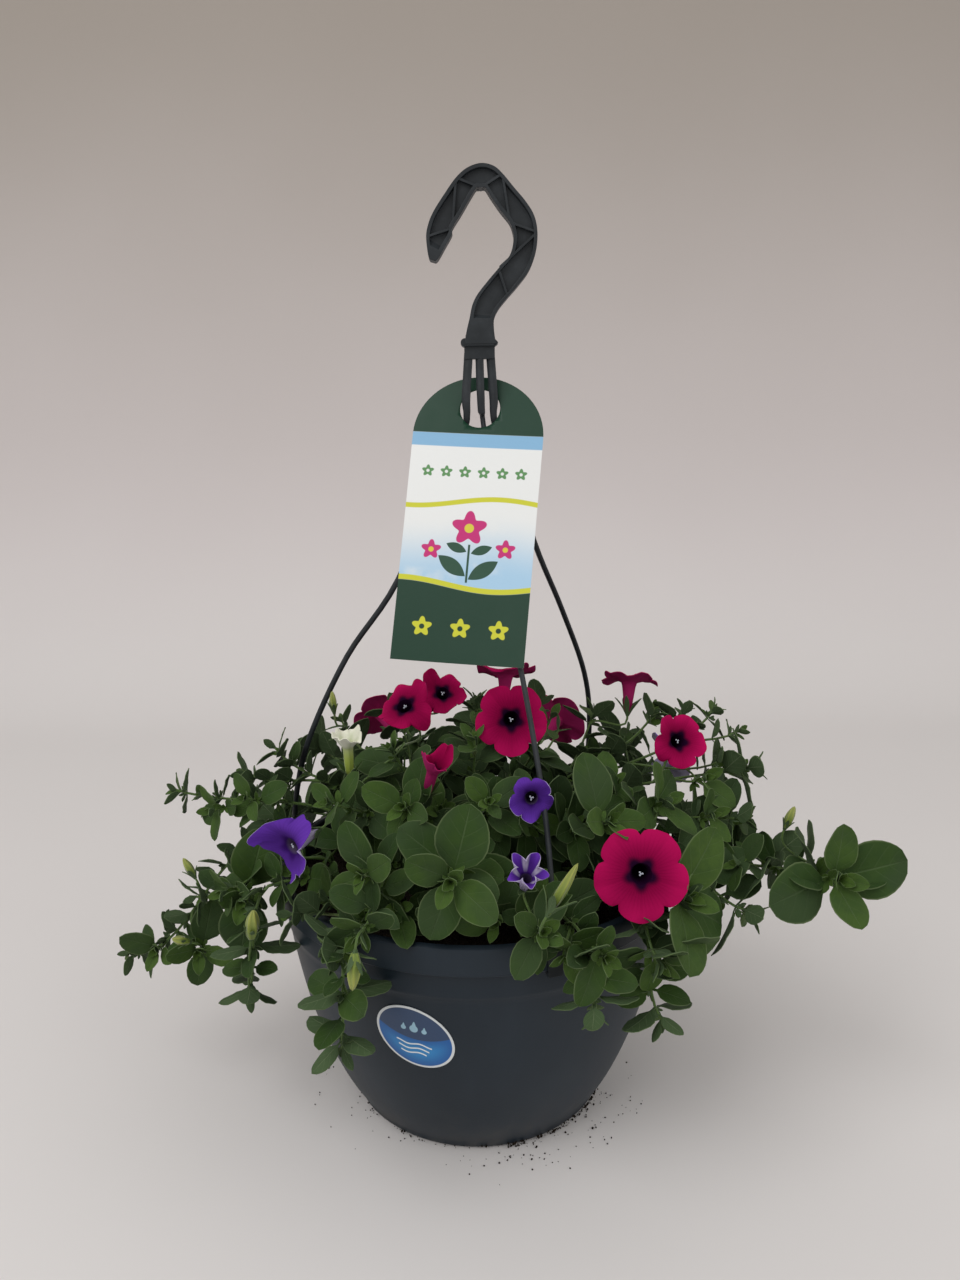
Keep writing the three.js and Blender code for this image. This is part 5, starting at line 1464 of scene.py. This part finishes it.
class PetuniaSoil(bpy.types.Operator):
    """Fills the pot with lumpy soil and scatters loose crumbs"""

    bl_idname = "petunia.soil"
    bl_label = "Soil"

    def execute(self, context):
        settings = context.scene.petunia_soil
        look = soil_look(settings)
        self.heap(settings.roughness / MM).done([look], "soil", ["soil"], 180)
        self.loose(settings).done([look], "soil", sharp=180)
        return {"FINISHED"}

    def height(self, share):
        """Height of the soil's crowned top at a share of its radius."""
        return SOIL_EDGE + SOIL_CROWN * (1 - share ** 1.5)

    def heap(self, lump):
        """The body of soil, lumpy on top."""
        shares = [i / 26 for i in range(26, -1, -1)]
        rows = SOIL_SIDE + [(SOIL_RADIUS * share, self.height(share)) for share in shares]
        piece = Piece("soil_lumpy")

        def place(u, v):
            row = round(v * (len(rows) - 1))
            radius, height = rows[row]
            spot = polar(radius, 360 * u, height)
            if row >= len(SOIL_SIDE):
                share = min(1.0, (SOIL_RADIUS - radius) / 8)
                spot.z += share * lump * (noise.noise(spot * 0.09) + 1.1 * noise.noise(spot * 0.33))
            return spot

        piece.grid(110, len(rows) - 1, place)
        return piece

    def loose(self, settings):
        """Crumbs that lie on the soil and, mostly to the front right, round the pot's foot."""
        draw = repeatable(CRUMB_SEED)
        noise.seed_set(CRUMB_SEED)

        def on_soil():
            radius = CRUMB_REACH * math.sqrt(next(draw))
            height = self.height(radius / SOIL_RADIUS)
            return polar(radius, 360 * next(draw), height + 0.8), 0.5 + 1.3 * next(draw) ** 2

        def on_floor():
            out = next(draw) ** 6
            size = 0.3 + 0.85 * next(draw) ** 2 * (1 - 0.6 * out)
            azimuth = 360 * next(draw) if next(draw) < 0.6 else -20 - 60 * next(draw)
            piled = 0 if out > 0.05 else PILE_HEIGHT * next(draw)
            return polar(FOOT_RADIUS + SPILL_REACH * out, azimuth, 0.6 * size + piled), size

        crumbs = Piece("soil_crumbs")
        scatter(crumbs, settings.crumbs, 1.7, draw, on_soil)
        scatter(crumbs, settings.spilled, 1.0, draw, on_floor)
        return crumbs


def grown_shoots():
    """Works out the stem of every shoot, bent sideways where its solid is."""
    surfaces = {}
    grown = {}
    taken = []
    for row in SHOOTS + SIDE_SHOOTS:
        name, head, points, leaf, turn, pairs, parent, leaving = [*row, None, None][:8]
        shoot = {"head": head, "points": points, "leaf": leaf, "turn": turn, "pairs": pairs, "parent": parent,
                 "added": row in SIDE_SHOOTS}
        above = grown.get(parent)
        start = above["line"].at(leaving) if above else root_of(shoot, taken)
        start_along = above["line"].along(leaving) if above else UP
        node = above["node"] if above else f"shoot_{name}"
        surface = surfaces.setdefault(node, surface_of(node))

        def misfit(sideways):
            line = stem_line(shoot, start, start_along, sideways, STEM_STEP)
            return sum(distance_to(surface, line.at(share)) for share in (0.25, 0.4, 0.55, 0.7, 0.85))

        sideways = min(SIDEWAYS_TRIES, key=misfit)
        fine_start = above["fine"].at(leaving) if above else start
        shoot.update({
            "node": node, "surface": surface,
            "line": stem_line(shoot, start, start_along, sideways, STEM_STEP),
            "fine": stem_line(shoot, fine_start, start_along, sideways, STEM_STEP / 5)})
        grown[name] = shoot
    return grown


def stalk_line(shoot, end, end_along, step=4.0):
    """The stalk from a stem to the foot of a bloom or bud."""
    line = shoot["fine"]
    start = line.at(max(0.1, 1 - 8 / line.length))
    neck = end - end_along * 3
    span = (neck - start).length
    return Line([start, *arch(start, line.along(1), 0.35 * span, neck, end_along, 0.45 * span, step), end])


class PetuniaShoots(bpy.types.Operator):
    """Grows the leafy shoots with their stems, stalks, sepals and buds"""

    bl_idname = "petunia.shoots"
    bl_label = "Leafy shoots"

    def execute(self, context):
        settings = context.scene.petunia_foliage
        grown = grown_shoots()
        pieces = {}
        for shoot in grown.values():
            if shoot["node"] not in pieces:
                pieces[shoot["node"]] = Piece(shoot["node"].replace("shoot_", "leafy_"))
            shoot["piece"] = pieces[shoot["node"]]
        is_clear = clearance(name for name in frame["nodes"] if name.startswith(("bloom_", "hanger", "tag")))
        for order, shoot in enumerate(grown.values()):
            self.grow(shoot, order, settings, is_clear)
        for bloom in BLOOMS:
            self.bear_bloom(grown[bloom.bearer], bloom, settings.blade)
        for order, (base, tip, radius, bearer) in enumerate(BUDS):
            self.bear_bud(grown[bearer], Vector(base), Vector(tip), radius, settings.blade, order)
        looks = [leaf_look(settings), stem_look(settings), bud_look()]
        for node in sorted(pieces):
            pieces[node].done(looks, "foliage", [node], 45)
        return {"FINISHED"}

    def grow(self, shoot, order, settings, is_clear):
        """The stem of a shoot and all its leaves."""
        piece, blade = shoot["piece"], settings.blade
        draw = repeatable(1000 + 37 * order)
        extra = repeatable(9000 + 53 * order)
        radius = settings.stem / MM * (0.85 if shoot["parent"] else 1)
        tube(piece, shoot["fine"], lambda share: radius * (1 - 0.35 * share), sides=7, material=1)
        for pair in pairs_of(shoot, shoot["line"], draw):
            for leaf in pair:
                in_head = leaf["order"] == 0
                in_solid = distance_to(shoot["surface"], solid_leaf_point(leaf, 1, 0)) < 0.75
                leaf["foot"] = shoot["fine"].at(leaf["share"])
                if not in_head and not in_solid:
                    if not shoot["added"]:
                        self.shrink(leaf)
                    if not is_clear(leaf):
                        continue
                tone = max(0.0, 0.75 - leaf["order"] * 0.26) + 0.3 * (next(extra) - 0.35)
                leaf_blade(piece, leaf, extra, blade, min(1.0, max(0.0, tone)))
            if pair[0]["order"] >= 2:
                self.tuft(piece, shoot, pair, extra, blade, is_clear)
        self.fill(piece, shoot, extra, blade, is_clear)
        self.tip(piece, shoot, extra, blade)

    def shrink(self, leaf):
        """Makes a leaf that the solid lacks a small one, close to the stem."""
        leaf["length"] *= 0.62
        leaf["width"] *= 0.62
        leaf["along"] = (leaf["along"] + leaf["stem"] * 0.35).normalized()
        leaf["face"] = leaf["along"].cross(leaf["side"])

    def fill(self, piece, shoot, draw, blade, is_clear):
        """Leaves and little side shoots all down a stem, in the gaps between its pairs."""
        line = shoot["fine"]
        under_head, above_root = 19.0, 22
        back = under_head
        while back < line.length - above_root:
            share = 1 - back / line.length
            foot, stem = line.at(share), line.along(share)
            back += 10 + 5 * next(draw)
            if foot.z < LOWEST_LEAF + 3 and foot.xy.length < RIM_RADIUS:
                continue
            outwards = Vector((foot.x, foot.y, 0)).normalized()
            light = (UP + outwards * 0.6 + stem * 0.3).normalized()
            turn = 360 * next(draw)
            for opposite in (0, 180):
                away = turned(*around(stem), turn + opposite + 30 * (next(draw) - 0.5))
                along = (away + stem * (0.1 + 0.5 * next(draw)) + UP * (0.15 + 0.35 * next(draw))
                         + outwards * 0.35 * next(draw)).normalized()
                face = (light - along * light.dot(along)).normalized()
                length = min(40.0, max(17.0, shoot["leaf"])) * (0.62 + 0.42 * next(draw))
                fold = 0.12 + 0.2 * next(draw)
                leaf = make_leaf(foot, stem, along, face, length, fold, 0.05 + 0.2 * next(draw))
                if is_clear(leaf):
                    leaf_blade(piece, leaf, draw, blade, 0.05 + 0.35 * next(draw))
                    if next(draw) < 0.55:
                        self.tuft(piece, shoot, [leaf], draw, blade, is_clear)

    def tuft(self, piece, shoot, pair, draw, blade, is_clear):
        """Little leaves in the axils of a pair."""
        for leaf in pair:
            size = shoot["leaf"] * (0.26 + 0.2 * next(draw))
            if size < 5:
                continue
            middle = (leaf["along"] + leaf["stem"] * 0.9).normalized()
            foot = leaf["foot"] + middle * 1.5
            turn = 360 * next(draw)
            for opposite, opening, share in ((0, 38, 0.8), (180, 38, 0.8), (90, 22, 0.55), (270, 22, 0.55)):
                away = turned(*around(middle), turn + opposite)
                along, face = leaning(middle, away, opening + 14 * next(draw))
                small = make_leaf(foot, middle, along, face, size * share, 0.2, 0.1 * next(draw))
                if is_clear(small):
                    leaf_blade(piece, small, draw, blade * 0.8, 0.55 + 0.4 * next(draw))

    def tip(self, piece, shoot, draw, blade):
        """The youngest leaves, still folded together at the end of a shoot."""
        middle = shoot["line"].along(1)
        foot = shoot["fine"].points[-1] - middle
        for k in range(4):
            away = turned(*around(middle), shoot["turn"] + 45 + 90 * k + 20 * next(draw))
            along, face = leaning(middle, away, 14 + 10 * next(draw))
            size = max(4.5, shoot["leaf"] * (0.3 if k % 2 else 0.22))
            small = make_leaf(foot, middle, along, face, size, 0.35, 0.05)
            if not before_bloom(solid_leaf_point(small, 0.8, 0)):
                leaf_blade(piece, small, draw, blade * 0.8, 0.85 + 0.15 * next(draw))

    def bear_bloom(self, shoot, bloom, blade):
        """The stalk and the sepals that carry a bloom."""
        axis = direction(*bloom.looks)
        foot = Vector(bloom.face) - axis * bloom.tube

        def width(share):
            return STALK_RADIUS + 0.5 * max(0, share - 0.8)

        tube(shoot["piece"], stalk_line(shoot, foot, axis), width, sides=6, material=1)
        sepals(shoot["piece"], foot - axis, axis, 14, 24, repeatable(700 + len(bloom.name)), blade)

    def bear_bud(self, shoot, base, tip, radius, blade, order):
        """A furled bud with five twisted ribs, on its stalk and in its sepals."""
        length = (tip - base).length
        axis = (tip - base).normalized()
        side, up = around(axis)

        def place(across, along):
            swell = math.sin(math.pi * (0.1 + 0.86 * along)) ** 0.8 if 0 < along < 1 else 0.0
            angle = FULL_TURN * across
            rib = 1 + 0.09 * math.cos(5 * angle + 3 * along)
            away = side * math.cos(angle) + up * math.sin(angle)
            return base + axis * length * along + away * radius * swell * rib

        tube(shoot["piece"], stalk_line(shoot, base, axis), lambda share: STALK_RADIUS, sides=6, material=1)
        shoot["piece"].grid(20, 14, place, material=2)
        sepal = max(9, 0.55 * length)
        sepals(shoot["piece"], base - axis * 0.5, axis, sepal, 15, repeatable(811 + order), blade)


class PetuniaBlooms(bpy.types.Operator):
    """Opens the trumpet-shaped blooms"""

    bl_idname = "petunia.blooms"
    bl_label = "Blooms"

    def execute(self, context):
        settings = context.scene.petunia_bloom
        violet_throat, violet_back = (0.03, 0.006, 0.10), (0.46, 0.42, 0.54)
        looks = {
            "magenta": petal_look(
                "petal_magenta", settings.magenta, (0.012, 0.001, 0.014), 0.30, (0.30, 0.02, 0.11)),
            "violet": petal_look("petal_violet", settings.violet, violet_throat, 0.26, violet_back, 0.25),
            "white": white_look(settings),
        }
        streaked = petal_look(
            "petal_violet_streaked", settings.violet, violet_throat, 0.2, violet_back, 0.2, 0.8)
        anthers = anther_look()
        for order, bloom in enumerate(BLOOMS):
            draw = repeatable(300 + 71 * order)
            place, values = bloom_shape(bloom, draw)
            piece = Piece(f"petals_{bloom.name}")
            piece.grid(75, 20, place, settings.petal, values=values)
            if bloom.open > 0.5:
                self.stamens(piece, bloom, draw)
            coat = streaked if bloom.name == STAR_BLOOM else looks[bloom.colour]
            piece.done([coat, anthers], f"petal_{bloom.colour}", [f"bloom_{bloom.name}"], 60)
        return {"FINISHED"}

    def stamens(self, piece, bloom, draw):
        """Pale anthers and the stigma, just inside the throat."""
        axis = direction(*bloom.looks)
        side, up = around(axis)
        for k in range(4):
            away = turned(side, up, 120 * k + 30 * next(draw))
            out = 0.0 if k == 3 else 1.05
            middle = Vector(bloom.face) - axis * (2.6 + 1.6 * next(draw)) + away * out
            count = len(piece.bm.verts)
            bmesh.ops.create_icosphere(
                piece.bm, subdivisions=2, radius=0.55 * MM,
                matrix=Matrix.Translation(middle * MM) @ Matrix.Diagonal((1, 0.7, 1.15, 1)))
            for vert in piece.since(count):
                for face in vert.link_faces:
                    face.material_index = 1


class PetuniaStage(bpy.types.Operator):
    """Sets the pale floor and backdrop, the soft light and the camera"""

    bl_idname = "petunia.stage"
    bl_label = "Stage"

    def execute(self, context):
        settings = context.scene.petunia_stage
        self.lay_floor(settings)
        self.light("key", settings.key, 1.6, (-1.1, -1.2, 2.0), (0, 0, 0.25))
        self.light("fill", settings.key * 0.35, 2.0, (1.6, -0.9, 1.2), (0, 0, 0.25))
        world = bpy.data.worlds.new("even_light")
        world.use_nodes = True
        world.node_tree.nodes["Background"].inputs["Color"].default_value = (1.0, 0.985, 0.965, 1)
        world.node_tree.nodes["Background"].inputs["Strength"].default_value = settings.sky
        context.scene.world = world
        context.scene.view_settings.view_transform = "Standard"
        self.set_camera()
        return {"FINISHED"}

    def lay_floor(self, settings):
        """A sheet of paper that runs back along the floor and bends up behind the pot."""
        bend_start, bend_end, bend_radius = 0.85, 1.6, 0.48
        bm = bmesh.new()
        for vert in bmesh.ops.create_grid(bm, x_segments=60, y_segments=80, size=1)["verts"]:
            run = (vert.co.y + 1) * 2.2 - 1.6
            x = vert.co.x * 3.2
            angle = math.pi / 2 * (run - bend_start) / (bend_end - bend_start)
            if run < bend_start:
                vert.co = (x, run, 0)
            elif run < bend_end:
                back, up = bend_radius * math.sin(angle), bend_radius * (1 - math.cos(angle))
                vert.co = (x, bend_start + back, up)
            else:
                vert.co = (x, bend_start + bend_radius, bend_radius + run - bend_end)
        data = bpy.data.meshes.new("floor_and_backdrop")
        bm.to_mesh(data)
        bm.free()
        data.shade_smooth()
        data.materials.append(paper_look(settings))
        floor = bpy.data.objects.new("floor_and_backdrop", data)
        bpy.context.scene.collection.objects.link(floor)

    def light(self, name, power, size, place, target):
        """A square lamp that shines towards a point."""
        lamp = bpy.data.lights.new(name, "AREA")
        lamp.energy, lamp.size = power, size
        holder = bpy.data.objects.new(name, lamp)
        holder.location = place
        holder.rotation_euler = (Vector(target) - Vector(place)).to_track_quat("-Z", "Y").to_euler()
        bpy.context.scene.collection.objects.link(holder)

    def set_camera(self):
        """The camera, where the photograph was taken from."""
        camera = bpy.data.cameras.new("camera")
        camera.sensor_width = SENSOR
        camera.lens = SENSOR * LENS_PIXELS / IMAGE_HEIGHT
        camera.shift_x = SHIFT_PIXELS / IMAGE_HEIGHT
        holder = bpy.data.objects.new("camera", camera)
        holder.matrix_world = (
            Matrix.Translation(VIEWER * MM) @ Matrix.Rotation(math.radians(90 - LOOKS_DOWN), 4, "X")
            @ Matrix.Rotation(math.radians(ROLL), 4, "Z"))
        bpy.context.scene.collection.objects.link(holder)
        bpy.context.scene.camera = holder


class PetuniaPanel(bpy.types.Panel):
    """Lists the pieces of the potted petunia"""

    bl_idname = "VIEW3D_PT_petunia"
    bl_label = "Potted Petunia"
    bl_space_type = "VIEW_3D"
    bl_region_type = "UI"
    bl_category = "Petunia"

    def draw(self, context):
        for operator in OPERATORS:
            self.layout.operator(operator.bl_idname)


OPERATORS = (
    PetuniaPot, PetuniaHanger, PetuniaCard, PetuniaLabel, PetuniaSoil, PetuniaShoots, PetuniaBlooms,
    PetuniaStage)
SETTINGS = {
    "petunia_pot": PotSettings, "petunia_hanger": HangerSettings, "petunia_card": CardSettings,
    "petunia_label": LabelSettings, "petunia_soil": SoilSettings, "petunia_foliage": FoliageSettings,
    "petunia_bloom": BloomSettings, "petunia_stage": StageSettings}


def register():
    for group in (*SETTINGS.values(), *OPERATORS, PetuniaPanel):
        bpy.utils.register_class(group)
    for name, group in SETTINGS.items():
        setattr(bpy.types.Scene, name, PointerProperty(type=group))


def unregister():
    for name in SETTINGS:
        delattr(bpy.types.Scene, name)
    for group in (PetuniaPanel, *reversed(OPERATORS), *SETTINGS.values()):
        bpy.utils.unregister_class(group)


def main():
    register()
    bpy.ops.petunia.pot()
    bpy.ops.petunia.hanger()
    bpy.ops.petunia.card()
    bpy.ops.petunia.label()
    bpy.ops.petunia.soil()
    bpy.ops.petunia.shoots()
    bpy.ops.petunia.blooms()
    bpy.ops.petunia.stage()


if __name__ == "__main__":
    main()
